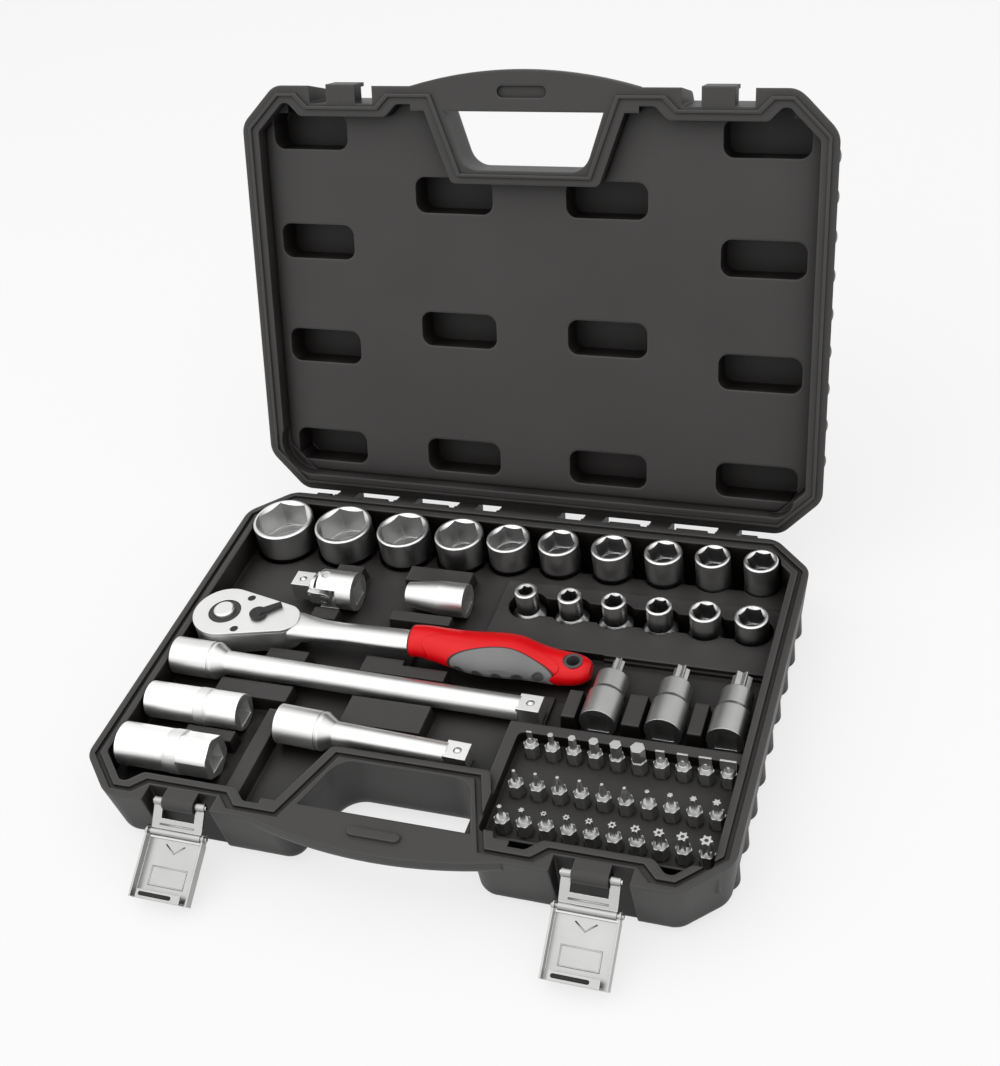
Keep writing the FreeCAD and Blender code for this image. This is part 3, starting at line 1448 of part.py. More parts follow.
def grip_skin(grow):
    """The grip's rounded form: ellipses from the collar over the belly to the tail."""
    front, middle, back = "shaft_rise", "-belly_sink", "-tail_sink"
    wide, tall = "grip_collar_half", "grip_collar_height"
    belly = ("grip_belly_half", "grip_belly_height", "grip_belly_shift", middle)
    wide_end, tall_end = "grip_tail_half", "grip_tail_height"
    return ellipse_loft([
        ("grip_start", wide, tall, 0, front),
        ("grip_start + grip_collar_length", *(f"{half} + grip_collar_flare" for half in (wide, tall)), 0, front),
        ("grip_start + grip_belly_from", *belly),
        ("grip_start + grip_belly_to", *belly),
        ("grip_end - grip_tail_back", wide_end, tall_end, 0, back),
        ("grip_end - grip_taper_back", f"{wide_end} - grip_taper_in", f"{tall_end} - grip_taper_down", 0, back),
        ("grip_end - grip_tip_back", f"{wide_end} - grip_tip_in", f"{tall_end} - grip_tip_down", 0, back),
    ], grow)


def grip_parts():
    ring = made("Ellipse", MajorRadius="inlay_half_length", MinorRadius="inlay_half_width")
    place(ring, "inlay_x", "inlay_y", "-head_radius - tail_sink")
    window = doc.addObject("Part::Extrusion", "window")
    window.Base = ring
    window.DirMode = "Custom"
    window.Dir = FreeCAD.Vector(0, 0, 1)
    window.Solid = True
    bind(window, "LengthFwd", "2*head_radius + tail_sink")
    core = grip_skin("-inlay_depth")
    at = ("hang_x", 0)
    reach = ("-head_radius - tail_sink", "head_radius")
    hang_hole = rod("z", "hang_ring_radius + hang_fit", *reach, at)
    hard = cut(grip_skin(0), cut(window, core), tang("tang_fit"), hang_hole)
    on_ratchet("ratchet_grip", hard)
    on_ratchet("grip_inlay", cut(overlap(grip_skin("inlay_proud"), window), core))
    z = ("-tail_sink - hang_ring_half", "hang_ring_half - tail_sink")
    eyelet = cut(rod("z", "hang_ring_radius", *z, at), rod("z", "hang_hole_radius", *z, at))
    on_ratchet("hang_ring", eyelet)


def build():
    case_base()
    case_lid()
    lid_panel()
    hinge_pin()
    latch_pins()
    for side, middle in (("left", "-latch_x"), ("right", "latch_x")):
        latch_link(side, middle)
        latch_lever(side, middle)
    for flats in list(BACK_ROW) + list(FRONT_ROW):
        hexagon_socket(flats)
    universal_joint()
    bit_adapter()
    extension("long")
    extension("short")
    spark_plug_socket("small", False)
    spark_plug_socket("large", True)
    for name in ("left", "middle", "right"):
        bit_socket(name)
    insert_bits()
    ratchet_body()
    ratchet_cover()
    drive_parts()
    switch_parts()
    grip_parts()
    doc.recompute()


GROUPS = {"latch_link_pins": 2, "cover_screws": 2, "hexagon_and_slotted_bits": 10,
          "cross_and_star_bits": 10, "holed_star_bits": 10}


def save():
    failed = [piece.Label for piece in doc.Objects if {"Invalid", "Error"} & set(piece.State)]
    for piece in NODES:
        shape = piece.Shape
        wanted = GROUPS.get(piece.Label, 1)
        if shape.isNull() or not shape.isValid() or len(shape.Solids) != wanted:
            failed.append(f"{piece.Label}, {len(shape.Solids)} solids")
    if failed:
        raise RuntimeError("failed: " + "; ".join(failed))
    os.makedirs("parts", exist_ok=True)
    for piece in NODES:
        solids = piece.Shape.Solids
        shape = solids[0] if len(solids) == 1 else Part.makeCompound(solids)
        shape.exportStep(f"parts/{piece.Label}.step")


build()
save()
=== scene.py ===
import math

import bmesh
import bpy
from mathutils import Matrix, Vector


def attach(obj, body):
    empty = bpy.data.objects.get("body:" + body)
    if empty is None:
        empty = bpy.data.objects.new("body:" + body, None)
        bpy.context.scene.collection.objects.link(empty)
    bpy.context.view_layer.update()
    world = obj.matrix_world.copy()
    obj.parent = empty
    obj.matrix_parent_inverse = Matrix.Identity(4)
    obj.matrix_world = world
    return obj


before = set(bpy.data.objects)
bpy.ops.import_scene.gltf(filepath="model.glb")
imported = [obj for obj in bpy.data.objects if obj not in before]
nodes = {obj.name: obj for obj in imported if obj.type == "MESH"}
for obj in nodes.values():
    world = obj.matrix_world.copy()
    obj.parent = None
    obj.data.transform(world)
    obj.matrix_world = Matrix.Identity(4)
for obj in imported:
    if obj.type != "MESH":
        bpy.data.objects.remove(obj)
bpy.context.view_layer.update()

# Socket set in an open plastic case, on a white studio floor. Metres, in the case's own frame.

scene = bpy.context.scene


class Value:
    """A number in a shader, so that its maths reads as plain Python."""

    def __init__(self, finish, socket):
        self.finish = finish
        self.socket = socket

    def __getitem__(self, name):
        return Value(self.finish, self.socket.node.outputs[name])

    def math(self, operation, first, second=0):
        return self.finish.node("ShaderNodeMath", {"operation": operation}, {0: first, 1: second})

    def __add__(self, other):
        return self.math("ADD", self, other)

    def __radd__(self, other):
        return self.math("ADD", other, self)

    def __sub__(self, other):
        return self.math("SUBTRACT", self, other)

    def __rsub__(self, other):
        return self.math("SUBTRACT", other, self)

    def __mul__(self, other):
        return self.math("MULTIPLY", self, other)

    def __rmul__(self, other):
        return self.math("MULTIPLY", other, self)

    def __truediv__(self, other):
        return self.math("DIVIDE", self, other)

    def __rtruediv__(self, other):
        return self.math("DIVIDE", other, self)

    def __pow__(self, other):
        return self.math("POWER", self, other)


class Finish:
    """The nodes of one procedural material, or of the world."""

    def __init__(self, name, world=None):
        self.material = world or bpy.data.materials.new(name)
        self.material.use_nodes = True
        self.tree = self.material.node_tree
        self.tree.nodes.clear()

    def node(self, kind, settings=None, sockets=None):
        made = self.tree.nodes.new(kind)
        for name, setting in (settings or {}).items():
            setattr(made, name, setting)
        for name, value in (sockets or {}).items():
            if isinstance(value, Value):
                self.tree.links.new(value.socket, made.inputs[name])
            else:
                made.inputs[name].default_value = value
        return Value(self, made.outputs[0]) if made.outputs else None

    def place(self):
        """The point on the piece, in metres, as it lies in the case."""
        return self.node("ShaderNodeTexCoord")["Object"]

    def spread(self, place):
        parts = self.node("ShaderNodeSeparateXYZ", {}, {0: place})
        return parts["X"], parts["Y"], parts["Z"]

    def stretch(self, place, factors):
        return self.node("ShaderNodeVectorMath", {"operation": "MULTIPLY"}, {0: place, 1: factors})

    def noise(self, place, scale, detail=2.0):
        return self.node("ShaderNodeTexNoise", {}, {"Vector": place, "Scale": scale, "Detail": detail})

    def between(self, value, low, high):
        """0 below low, 1 above high, and a smooth rise from one to the other."""
        settings = {"interpolation_type": "SMOOTHSTEP"}
        return self.node("ShaderNodeMapRange", settings, {"Value": value, "From Min": low, "From Max": high})

    def mix(self, factor, first, second):
        mixed = self.node("ShaderNodeMix", {"data_type": "RGBA"}, {0: factor, 6: first, 7: second})
        return Value(self, mixed.socket.node.outputs[2])

    def soft(self, radius):
        """The surface's direction with its edges rounded."""
        return self.node("ShaderNodeBevel", {"samples": 6}, {"Radius": radius})

    def edge(self, soft):
        """How far an edge's rounding turns the surface."""
        sharp = self.node("ShaderNodeNewGeometry")["Normal"]
        along = self.node("ShaderNodeVectorMath", {"operation": "DOT_PRODUCT"}, {0: soft, 1: sharp})["Value"]
        return self.between(1 - along, 0.01, 0.25)

    def shade(self, reach):
        """1 in the open, down to 0 at the bottom of a narrow pocket."""
        return self.node("ShaderNodeAmbientOcclusion", {"samples": 6}, {"Distance": reach})["AO"]

    def bump(self, height, depth, normal, strength=1.0):
        sockets = {"Height": height, "Distance": depth, "Strength": strength, "Normal": normal}
        return self.node("ShaderNodeBump", {}, sockets)

    def done(self, **sockets):
        named = {name.replace("_", " "): value for name, value in sockets.items()}
        shader = self.node("ShaderNodeBsdfPrincipled", {}, named)
        self.node("ShaderNodeOutputMaterial", {}, {"Surface": shader})
        return self.material


def tone(red, green, blue):
    return (red, green, blue, 1.0)


def case_plastic():
    """Dark grey moulded plastic with a fine grain and soft edges; its edges painted a little paler, partly
    as wear and partly as painted highlight, and its pockets darkened with painted shade.
    """
    finish = Finish("case_plastic")
    place = finish.place()
    soft = finish.soft(0.0022)
    edge = finish.edge(soft)
    cloud = finish.noise(place, 16, 3)
    grain = finish.noise(place, 1500, 2)
    flow = finish.noise(finish.stretch(place, (1, 6, 6)), 9, 4)
    outside_painted_shade = finish.between(finish.shade(0.03), 0.35, 1.0)
    colour = finish.mix(cloud, tone(0.042, 0.040, 0.039), tone(0.056, 0.054, 0.053))
    # Paler edges: partly wear, partly painted highlight.
    colour = finish.mix(0.6*edge, colour, tone(0.12, 0.117, 0.115))
    # Painted shade: near-black colour in pockets and corners, where the occlusion mask falls.
    colour = finish.mix(outside_painted_shade, tone(0.0035, 0.002, 0.0015), colour)
    rough = 0.40 + 0.12*flow + 0.06*grain
    normal = finish.bump(grain, 0.00006, soft, 0.6)
    return finish.done(Base_Color=colour, Roughness=rough, Normal=normal, Specular_IOR_Level=0.3)


def satin_chrome(name, low, high):
    """Pearl chrome plating with a fine blasted grain and polished edges."""
    finish = Finish(name)
    place = finish.place()
    soft = finish.soft(0.0005)
    edge = finish.edge(soft)
    cloud = finish.noise(place, 40, 3)
    grain = finish.noise(place, 3500, 2)
    colour = finish.mix(cloud, low, high)
    colour = finish.mix(edge, colour, tone(0.9, 0.9, 0.89))
    rough = 0.30 + 0.10*cloud + 0.06*grain - 0.15*edge
    normal = finish.bump(grain, 0.00003, soft, 0.5)
    return finish.done(Base_Color=colour, Metallic=1.0, Roughness=rough, Normal=normal)


def bright_chrome():
    """Polished chrome on the hexagon sockets, with fine turning lines and painted shade darkening their
    mouths.
    """
    finish = Finish("bright_chrome")
    place = finish.place()
    soft = finish.soft(0.0005)
    edge = finish.edge(soft)
    cloud = finish.noise(place, 35, 3)
    lines = finish.noise(finish.stretch(place, (30, 30, 2400)), 1, 2)
    outside_painted_shade = finish.between(finish.shade(0.02), 0.1, 0.75)
    colour = finish.mix(cloud, tone(0.66, 0.66, 0.66), tone(0.76, 0.76, 0.75))
    # Painted shade: the colour darkens to grey deep in the socket mouths.
    colour = finish.mix(outside_painted_shade, tone(0.2, 0.2, 0.2), colour)
    colour = finish.mix(edge, colour, tone(0.92, 0.92, 0.91))
    rough = 0.24 + 0.08*cloud + 0.06*lines
    normal = finish.bump(lines, 0.00002, soft, 0.4)
    return finish.done(Base_Color=colour, Metallic=1.0, Roughness=rough, Normal=normal)


def latch_steel():
    """Plated sheet steel, brushed along the latch."""
    finish = Finish("latch_steel")
    place = finish.place()
    soft = finish.soft(0.0006)
    edge = finish.edge(soft)
    cloud = finish.noise(place, 60, 3)
    brush = finish.noise(finish.stretch(place, (2600, 60, 60)), 1, 3)
    colour = finish.mix(cloud, tone(0.34, 0.34, 0.335), tone(0.42, 0.42, 0.415))
    colour = finish.mix(edge, colour, tone(0.8, 0.8, 0.79))
    rough = 0.24 + 0.12*brush + 0.05*cloud
    normal = finish.bump(brush, 0.00002, soft, 0.5)
    return finish.done(Base_Color=colour, Metallic=1.0, Roughness=rough, Normal=normal)


def bit_steel():
    """Grey tool steel, blasted dull with worn bright edges."""
    finish = Finish("bit_steel")
    place = finish.place()
    soft = finish.soft(0.0003)
    edge = finish.edge(soft)
    cloud = finish.noise(place, 120, 3)
    grain = finish.noise(place, 4200, 2)
    colour = finish.mix(cloud, tone(0.40, 0.40, 0.39), tone(0.54, 0.54, 0.53))
    colour = finish.mix(edge, colour, tone(0.82, 0.82, 0.81))
    rough = 0.30 + 0.10*cloud + 0.06*grain
    normal = finish.bump(grain, 0.00003, soft, 0.5)
    return finish.done(Base_Color=colour, Metallic=1.0, Roughness=rough, Normal=normal)


def dark_steel():
    """Blackened steel of the screws, the reversing lever and the pawl."""
    finish = Finish("dark_steel")
    place = finish.place()
    soft = finish.soft(0.0003)
    edge = finish.edge(soft)
    cloud = finish.noise(place, 300, 3)
    colour = finish.mix(cloud, tone(0.018, 0.018, 0.018), tone(0.035, 0.034, 0.033))
    colour = finish.mix(edge, colour, tone(0.12, 0.12, 0.12))
    normal = finish.bump(cloud, 0.00003, soft, 0.5)
    return finish.done(Base_Color=colour, Metallic=0.6, Roughness=0.34 + 0.1*cloud, Normal=normal)


def pin_steel():
    """Drawn steel of the pins, balls and springs."""
    finish = Finish("pin_steel")
    place = finish.place()
    lines = finish.noise(finish.stretch(place, (40, 3000, 3000)), 1, 2)
    cloud = finish.noise(place, 80, 2)
    soft = finish.soft(0.0003)
    colour = finish.mix(cloud, tone(0.56, 0.56, 0.56), tone(0.68, 0.68, 0.67))
    normal = finish.bump(lines, 0.00002, soft, 0.4)
    return finish.done(Base_Color=colour, Metallic=1.0, Roughness=0.24 + 0.12*lines, Normal=normal)


# The ratchet lies with its head centred here, and its handle turned this far from X.
HEAD = Vector((-0.162, 0.0123, 0.0395))
HEADING = math.radians(1.15)


def along_handle(finish):
    """Distances from the ratchet head's centre along the handle and across it."""
    x, y, z = finish.spread(finish.place())
    east, north = x - HEAD.x, y - HEAD.y
    along = math.cos(HEADING)*east + math.sin(HEADING)*north
    across = math.cos(HEADING)*north - math.sin(HEADING)*east
    return along, across, z - HEAD.z


def red_plastic(finish, place):
    cloud = finish.noise(place, 30, 3)
    return finish.mix(cloud, tone(0.74, 0.001, 0.004), tone(0.82, 0.003, 0.008))


def grip_red():
    """Red moulded grip with a dark seam at its collar."""
    finish = Finish("grip_red")
    place = finish.place()
    along, _, _ = along_handle(finish)
    grain = finish.noise(place, 2200, 2)
    cloud = finish.noise(place, 30, 3)
    collar = 1 - finish.between(along, 0.1288, 0.1296)
    colour = finish.mix(collar, red_plastic(finish, place), tone(0.03, 0.03, 0.03))
    normal = finish.bump(grain, 0.00004, finish.soft(0.0008), 0.5)
    return finish.done(Base_Color=colour, Roughness=0.3 + 0.1*cloud, Normal=normal, Specular_IOR_Level=0.3)


# The grey rubber's oval on the grip, measured from the head along the handle and across it.
INLAY_MIDDLE = 0.187
INLAY_HALF_LENGTH = 0.036
INLAY_ASIDE = -0.017
INLAY_SKEW = 0.0026
INLAY_HALF_WIDTH = 0.0104
DENT_PITCH = 0.0125
DENT_UP = -0.0048


def grip_soft():
    """Grey rubber let into the red, with a dark seam round it and finger dents along its front, the dents'
    shade painted dark.
    """
    finish = Finish("grip_soft")
    place = finish.place()
    along, across, up = along_handle(finish)
    grain = finish.noise(place, 1800, 3)
    cloud = finish.noise(place, 40, 3)
    ahead = (along - INLAY_MIDDLE)/INLAY_HALF_LENGTH
    aside = (across - INLAY_ASIDE - INLAY_SKEW*ahead)/INLAY_HALF_WIDTH
    oval = ahead**2 + aside**2
    hard = finish.between(oval, 0.93, 0.97)
    rubber = 1 - hard
    seam = hard*(1 - finish.between(oval, 1.03, 1.08))
    limits = {0: along - INLAY_MIDDLE, 1: DENT_PITCH/2, 2: -DENT_PITCH/2}
    step = finish.node("ShaderNodeMath", {"operation": "WRAP"}, limits)
    away = (step**2 + (up - DENT_UP)**2)**0.5
    dent_and_painted_shade = rubber*(1 - finish.between(away, 0.0026, 0.0042))
    grey = finish.mix(cloud, tone(0.18, 0.18, 0.181), tone(0.25, 0.25, 0.251))
    colour = finish.mix(rubber, red_plastic(finish, place), grey)
    # Painted shade: the finger dents are darkened in colour, as well as pressed in through the bump.
    colour = finish.mix(0.7*dent_and_painted_shade, colour, tone(0.022, 0.022, 0.022))
    colour = finish.mix(seam, colour, tone(0.03, 0.03, 0.03))
    height = rubber*grain*0.1 - dent_and_painted_shade - 0.5*seam
    rough = 0.3 + 0.1*cloud + 0.2*rubber
    normal = finish.bump(height, 0.0012, finish.soft(0.0008), 0.8)
    return finish.done(Base_Color=colour, Roughness=rough, Normal=normal, Specular_IOR_Level=0.3)


def drive_finish():
    """Chrome drive wheel with a black ring on its hub."""
    finish = Finish("drive_finish")
    place = finish.place()
    _, _, up = along_handle(finish)
    soft = finish.soft(0.0004)
    cloud = finish.noise(place, 60, 3)
    ring = finish.between(up, 0.0040, 0.0044)
    chrome = finish.mix(cloud, tone(0.68, 0.68, 0.67), tone(0.78, 0.78, 0.77))
    colour = finish.mix(ring, chrome, tone(0.016, 0.016, 0.016))
    metal = 1 - ring
    rough = 0.28 + 0.1*cloud + 0.12*ring
    return finish.done(Base_Color=colour, Metallic=metal, Roughness=rough, Normal=soft)


def black_moulding(name, low, high, rough):
    finish = Finish(name)
    place = finish.place()
    grain = finish.noise(place, 1600, 3)
    cloud = finish.noise(place, 60, 3)
    colour = finish.mix(cloud, low, high)
    normal = finish.bump(grain, 0.00005, finish.soft(0.0005), 0.6)
    return finish.done(Base_Color=colour, Roughness=rough + 0.12*cloud, Normal=normal)


# The knurled band of both plug sockets.
KNURL_LEFT = -0.1462
KNURL_RIGHT = -0.1372
KNURL_FADE = 0.0004


def plug_chrome():
    """Satin chrome with a knurled band round the plug sockets' middle."""
    finish = Finish("plug_chrome")
    place = finish.place()
    x, _, _ = finish.spread(place)
    soft = finish.soft(0.0005)
    edge = finish.edge(soft)
    cloud = finish.noise(place, 40, 3)
    grain = finish.noise(place, 3500, 2)
    rise = finish.between(x, KNURL_LEFT, KNURL_LEFT + KNURL_FADE)
    fall = finish.between(x, KNURL_RIGHT, KNURL_RIGHT + KNURL_FADE)
    band = rise*(1 - fall)
    pick = finish.node("ShaderNodeTexVoronoi", {}, {"Vector": place, "Scale": 1400.0})
    colour = finish.mix(cloud, tone(0.90, 0.90, 0.89), tone(0.96, 0.96, 0.95))
    colour = finish.mix(edge, colour, tone(0.95, 0.95, 0.94))
    colour = finish.mix(0.35*band, colour, tone(0.5, 0.5, 0.5))
    rough = 0.30 + 0.10*cloud + 0.06*grain + 0.1*band
    normal = finish.bump(grain*0.1 + band*pick, 0.00025, soft, 0.5)
    return finish.done(Base_Color=colour, Metallic=1.0, Roughness=rough, Normal=normal)


def dress_cad():
    """Gives every piece of the set its own finish."""
    case = case_plastic()
    satin = satin_chrome("satin_chrome", tone(0.70, 0.70, 0.69), tone(0.78, 0.78, 0.77))
    grey = satin_chrome("grey_chrome", tone(0.36, 0.36, 0.355), tone(0.46, 0.46, 0.455))
    bright = bright_chrome()
    latch = latch_steel()
    bits = bit_steel()
    dark = dark_steel()
    pins = pin_steel()
    plugs = plug_chrome()
    rubber = black_moulding("plug_rubber", tone(0.012, 0.012, 0.012), tone(0.022, 0.022, 0.022), 0.6)
    eyelet = black_moulding("eyelet", tone(0.06, 0.06, 0.062), tone(0.09, 0.09, 0.092), 0.45)
    single = {
        "case_base": case,
        "case_lid": case,
        "lid_panel": case,
        "ratchet_grip": grip_red(),
        "grip_inlay": grip_soft(),
        "hang_ring": eyelet,
        "drive_gear": drive_finish(),
        "cover_screws": dark,
        "reverse_lever": dark,
        "pawl": dark,
    }
    for name, piece in nodes.items():
        finish = satin
        if name in single:
            finish = single[name]
        elif name.startswith("socket_"):
            finish = bright
        elif name.startswith("bit_socket"):
            finish = grey
        elif "latch_link_pins" in name or "spring" in name or name.endswith("_ball") or name == "hinge_pin":
            finish = pins
        elif "latch" in name:
            finish = latch
        elif name.endswith("_bits") or name.startswith("star_bit"):
            finish = bits
        elif name.startswith("plug_rubber"):
            finish = rubber
        elif name.startswith("spark_plug"):
            finish = plugs
        piece.data.materials.clear()
        piece.data.materials.append(finish)
    # Painted shadow: the near-black finish of the dark sheets on the latches' lips.
    shadow = black_moulding("slot_shadow", tone(0.01, 0.01, 0.01), tone(0.016, 0.016, 0.016), 0.7)
    return {"case": case, "latch": latch, "shadow": shadow, "satin": satin}


def camera():
    """The photographer's place, worked out from the case's corners."""
    azimuth, elevation, roll = math.radians(24.81), math.radians(39.67), math.radians(-10.49)
    distance, focal_pixels, picture_height = 1.0165, 1544.17, 1066
    target = Vector((-0.00957, 0.1175, 0.044))
    flat = math.cos(elevation)
    back = Vector((math.sin(azimuth)*flat, -math.cos(azimuth)*flat, math.sin(elevation)))
    right = (-back).cross(Vector((0, 0, 1))).normalized()
    up = right.cross(-back)
    tilted_right = math.cos(roll)*right + math.sin(roll)*up
    tilted_up = math.cos(roll)*up - math.sin(roll)*right
    lens = bpy.data.cameras.new("camera")
    lens.sensor_width = 36
    lens.lens = 36*focal_pixels/picture_height
    lens.clip_start = 0.01
    holder = bpy.data.objects.new("camera", lens)
    turn = Matrix((tilted_right, tilted_up, back)).transposed().to_4x4()
    holder.matrix_world = Matrix.Translation(target + back*distance) @ turn
    scene.collection.objects.link(holder)
    scene.camera = holder


def lamp(name, place, aim, size, power):
    light = bpy.data.lights.new(name, "AREA")
    light.shape = "SQUARE"
    light.size = size
    light.energy = power
    holder = bpy.data.objects.new(name, light)
    holder.location = place
    holder.rotation_euler = (Vector(aim) - Vector(place)).to_track_quat("-Z", "Y").to_euler()
    scene.collection.objects.link(holder)


# Each lamp's name, place, width and watts, and the spot that all of them point at.
LAMPS = [
    ("key_lamp", (-0.9, -0.9, 1.7), 2.6, 15),
    ("fill_lamp", (1.2, -0.7, 1.4), 2.2, 7),
    ("top_lamp", (0.0, 0.25, 1.9), 2.4, 8),
]
LAMP_AIM = (0, 0.05, 0.05)


def seen_directly(finish):
    """1 for rays that show the surroundings, 0 for rays that only carry light."""
    path = finish.node("ShaderNodeLightPath")
    shown = path["Is Camera Ray"] + path["Is Glossy Ray"] + path["Is Transmission Ray"]
    return finish.node("ShaderNodeClamp", {}, {"Value": shown})


def studio():
    """White floor and surroundings with large soft lamps."""
    mesh = bpy.data.meshes.new("floor")
    shape = bmesh.new()
    bmesh.ops.create_grid(shape, x_segments=1, y_segments=1, size=6)
    shape.to_mesh(mesh)
    shape.free()
    floor = bpy.data.objects.new("floor", mesh)
    floor.location.z = -0.0005
    scene.collection.objects.link(floor)
    finish = Finish("floor")
    shown = seen_directly(finish)
    matt = finish.node("ShaderNodeBsdfDiffuse", {}, {"Color": tone(0.86, 0.86, 0.86)})
    glow = finish.node("ShaderNodeEmission", {}, {"Color": tone(1, 1, 1), "Strength": 1.0})
    mixed = finish.node("ShaderNodeMixShader", {}, {0: 0.72*shown, 1: matt, 2: glow})
    finish.node("ShaderNodeOutputMaterial", {}, {"Surface": mixed})
    mesh.materials.append(finish.material)
    scene.world = bpy.data.worlds.new("studio")
    sky = Finish("studio", scene.world)
    level = 0.62 + 0.38*seen_directly(sky)
    light = sky.node("ShaderNodeBackground", {}, {"Color": tone(1, 1, 1), "Strength": level})
    sky.node("ShaderNodeOutputWorld", {}, {"Surface": light})
    for name, place, size, power in LAMPS:
        lamp(name, place, LAMP_AIM, size, power)
    scene.view_settings.view_transform = "Standard"


RIDGE = [(-1.0, 0.0), (-0.8, 0.55), (-0.35, 0.95), (0.35, 0.95), (0.8, 0.55), (1.0, 0.0)]


def ridge(name, path, width, height, closed=False):
    """A pressed bead of half-round section along a path on a flat sheet, rising in +Z."""
    count = len(path)
    points = [Vector((x, y)) for x, y in path]
    shape = bmesh.new()
    rings = []
    for i, point in enumerate(points):
        before = points[i - 1] if closed or i else None
        after = points[(i + 1) % count] if closed or i < count - 1 else None
        arriving = (point - before).normalized() if before is not None else (after - point).normalized()
        leaving = (after - point).normalized() if after is not None else arriving
        middle = (arriving + leaving).normalized()
        reach = 1/max(middle.dot(arriving), 0.3)
        side = Vector((-middle.y, middle.x))*reach
        ring = [shape.verts.new((*(point + side*(u*width/2)), v*height)) for u, v in RIDGE]
        rings.append(ring)
    spans = count if closed else count - 1
    for i in range(spans):
        near, far = rings[i], rings[(i + 1) % count]
        for j in range(len(RIDGE)):
            k = (j + 1) % len(RIDGE)
            shape.faces.new((near[j], near[k], far[k], far[j]))
    if not closed:
        shape.faces.new(rings[0])
        shape.faces.new(list(reversed(rings[-1])))
    bmesh.ops.recalc_face_normals(shape, faces=shape.faces)
    return finished(name, shape)


def finished(name, shape):
    mesh = bpy.data.meshes.new(name)
    shape.to_mesh(mesh)
    shape.free()
    for face in mesh.polygons:
        face.use_smooth = True
    piece = bpy.data.objects.new(name, mesh)
    scene.collection.objects.link(piece)
    return piece


def fit(piece, spot, body, material):
    """Sets a piece in its place on the set and lets it move with a body."""
    piece.data.transform(spot)
    piece.data.materials.append(material)
    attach(piece, body)


# Sections of the ratchet's neck in millimetres: along the handle, half width, top, bottom and squareness.
NECK = [
    (42, 11.2, 8.2, -5.5, 4.0),
    (50, 10.4, 7.6, -5.3, 3.4),
    (56, 9.6, 6.8, -4.9, 2.8),
    (63, 8.7, 6.0, -4.2, 2.3),
    (71, 8.05, 5.62, -3.6, 2.05),
    (79, 7.8, 5.48, -3.4, 2.0),
    (86, 7.3, 5.0, -3.0, 2.0),
]
NECK_POINTS = 24


def ratchet_neck(satin):
    """The forged curve from the ratchet's head into its shaft."""
    shape = bmesh.new()
    rings = []
    for along, half, top, bottom, square in NECK:
        middle, rise = (top + bottom)/2, (top - bottom)/2
        ring = []
        for i in range(NECK_POINTS):
            angle = math.tau*i/NECK_POINTS
            side, up = math.cos(angle), math.sin(angle)
            across = math.copysign(abs(side)**(2/square), side)*half
            height = math.copysign(abs(up)**(2/square), up)*rise + middle
            ring.append(shape.verts.new((along/1000, across/1000, height/1000)))
        rings.append(ring)
    for near, far in zip(rings, rings[1:]):
        for i in range(NECK_POINTS):
            k = (i + 1) % NECK_POINTS
            shape.faces.new((near[i], near[k], far[k], far[i]))
    shape.faces.new(rings[0])
    shape.faces.new(list(reversed(rings[-1])))
    bmesh.ops.recalc_face_normals(shape, faces=shape.faces)
    piece = finished("ratchet_neck", shape)
    smooth = piece.modifiers.new("smooth", "SUBSURF")
    smooth.levels = 2
    smooth.render_levels = 2
    spot = Matrix.Translation(HEAD) @ Matrix.Rotation(HEADING, 4, "Z")
    fit(piece, spot, "ratchet", satin)


def latch_spot(pivot, swing, depth):
    """From a drawing on the sheet, X across and Y down the latch, to the opened latch in the case."""
    drawing = Matrix(((1, 0, 0, 0), (0, 0, -1, depth), (0, -1, 0, 0), (0, 0, 0, 1)))
    return Matrix.Translation(pivot) @ Matrix.Rotation(-math.radians(swing), 4, "X") @ drawing


def painted_lip_shadow(name, left, right, near, far):
    """A painted shadow: a dark sheet with round ends, lying on the latch's rolled lip where the gap at its
    fold is shaded.
    """
    shape = bmesh.new()
    radius = (far - near)/2
    middle = (far + near)/2
    rim = []
    for centre, start in ((right - radius, -90), (left + radius, 90)):
        for i in range(9):
            angle = math.radians(start + i*22.5)
            rim.append((centre + radius*math.cos(angle), middle + radius*math.sin(angle)))
    low = [shape.verts.new((x, y, -0.0003)) for x, y in rim]
    high = [shape.verts.new((x, y, 0.00008)) for x, y in rim]
    shape.faces.new(high)
    shape.faces.new(list(reversed(low)))
    for i in range(len(rim)):
        k = (i + 1) % len(rim)
        shape.faces.new((low[i], low[k], high[k], high[i]))
    bmesh.ops.recalc_face_normals(shape, faces=shape.faces)
    return finished(name, shape)


# Each latch's side of the case and its X. Then how both hang open: the Y and Z of each pivot, the swing in
# degrees, and how far the faces lie from the pivot.
LATCHES = (("left", -0.122), ("right", 0.122))
LEVER_PIVOT = (-0.145874, 0.027126)
LEVER_SWING = 61
LEVER_PLATE = 0.0028
LEVER_LIP = -0.0032
LINK_PIVOT = (-0.1335, 0.0395)
LINK_SWING = 45
LINK_FACE = -0.00075

# Drawings on the latches' sheets, X across and Y down from the pivot.
ARROW = [(-0.006, 0.006), (0, 0.0105), (0.006, 0.006)]
PANEL = [(-0.011, 0.019), (0.011, 0.019), (0.011, 0.0295), (-0.011, 0.0295)]
STRIPE = [(-0.011, 0.0128), (0.011, 0.0128)]
BEAD_WIDTH = 0.0009
BEAD_HEIGHT = 0.0004
STRIPE_WIDTH = 0.0012
STRIPE_HEIGHT = 0.0005


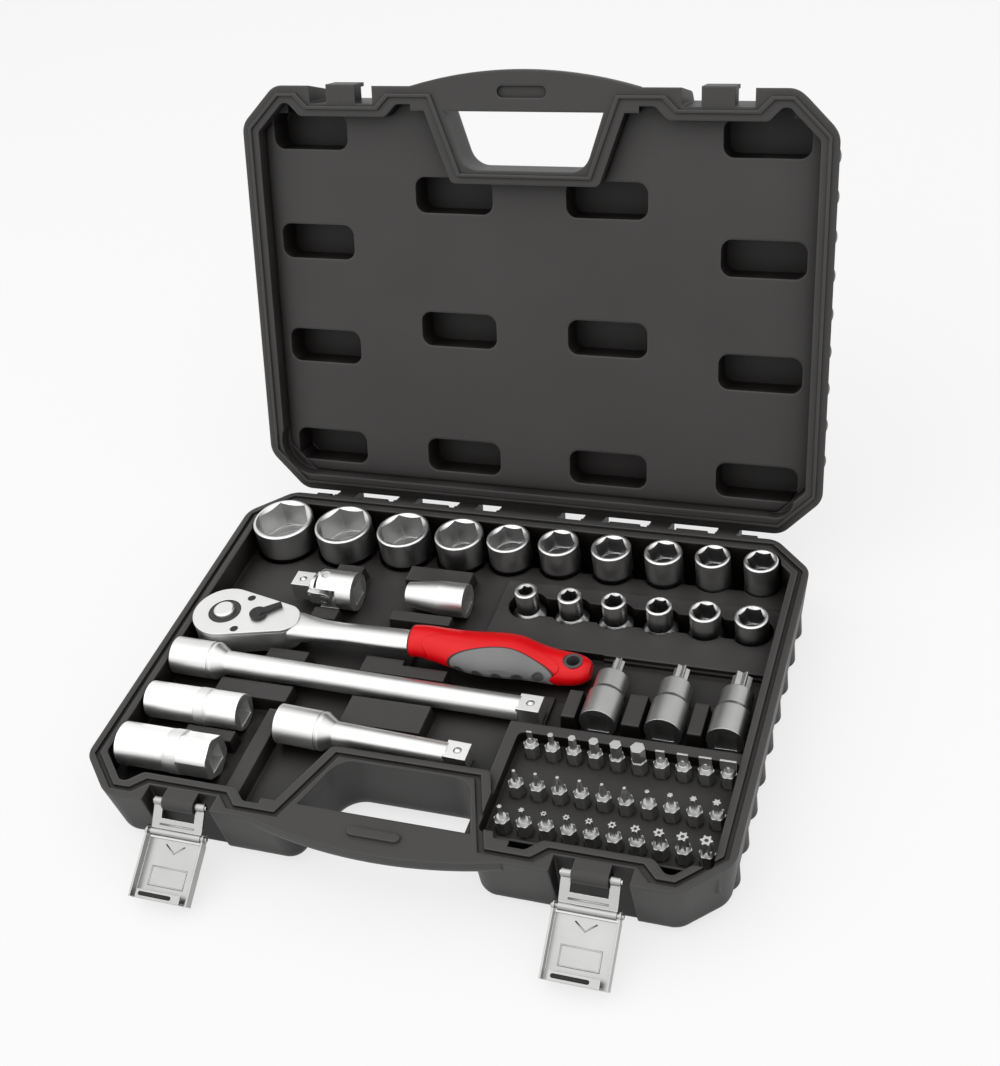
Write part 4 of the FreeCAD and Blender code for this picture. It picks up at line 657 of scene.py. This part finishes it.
def latch_details(latch, shadow):
    """Beads pressed into both latches, and a painted shadow on each lever's lip."""
    for side, x in LATCHES:
        lever, link = f"{side}_lever", f"{side}_link"
        pivot = Vector((x, *LEVER_PIVOT))
        plate = latch_spot(pivot, LEVER_SWING, LEVER_PLATE)
        lip = latch_spot(pivot, LEVER_SWING, LEVER_LIP)
        arrow = ridge(f"{side}_lever_arrow", ARROW, BEAD_WIDTH, BEAD_HEIGHT)
        panel = ridge(f"{side}_lever_panel", PANEL, BEAD_WIDTH, BEAD_HEIGHT, closed=True)
        fit(arrow, plate, lever, latch)
        fit(panel, plate, lever, latch)
        # Painted shadow of the gap at the lever's lip.
        painted_shadow_sheet = painted_lip_shadow(f"{side}_lever_painted_shadow", -0.0125, 0.0085, 0.0342, 0.0366)
        fit(painted_shadow_sheet, lip, lever, shadow)
        face = latch_spot(Vector((x, *LINK_PIVOT)), LINK_SWING, LINK_FACE)
        bead = ridge(f"{side}_link_bead", STRIPE, STRIPE_WIDTH, STRIPE_HEIGHT)
        fit(bead, face, link, latch)


# The lid's hinge, how far it is open, and the height of its outside when it is closed.
HINGE = Vector((0, 0.1426, 0.0346))
LID_OPEN = math.radians(109.5)
LID_TOP = 0.078
BEAD_SINK = 0.0003


def rounded_frame(half_width, near, far, radius):
    """Points round a rectangle with round corners, starting at its lower right."""
    points = []
    inner, low, high = half_width - radius, near + radius, far - radius
    for x, y, start in ((inner, low, -90), (inner, high, 0), (-inner, high, 90), (-inner, low, 180)):
        for i in range(7):
            angle = math.radians(start + 15*i)
            points.append((x + radius*math.cos(angle), y + radius*math.sin(angle)))
    return points


def lid_frame(case):
    """A raised frame moulded on the outside of the lid."""
    bead = ridge("lid_frame", rounded_frame(0.150, -0.076, 0.112, 0.016), 0.004, 0.0014, closed=True)
    swing = Matrix.Translation(HINGE) @ Matrix.Rotation(-LID_OPEN, 4, "X") @ Matrix.Translation(-HINGE)
    spot = swing @ Matrix.Translation((0, 0, LID_TOP - BEAD_SINK))
    fit(bead, spot, "lid", case)


finishes = dress_cad()
lid_frame(finishes["case"])
latch_details(finishes["latch"], finishes["shadow"])
ratchet_neck(finishes["satin"])
camera()
studio()
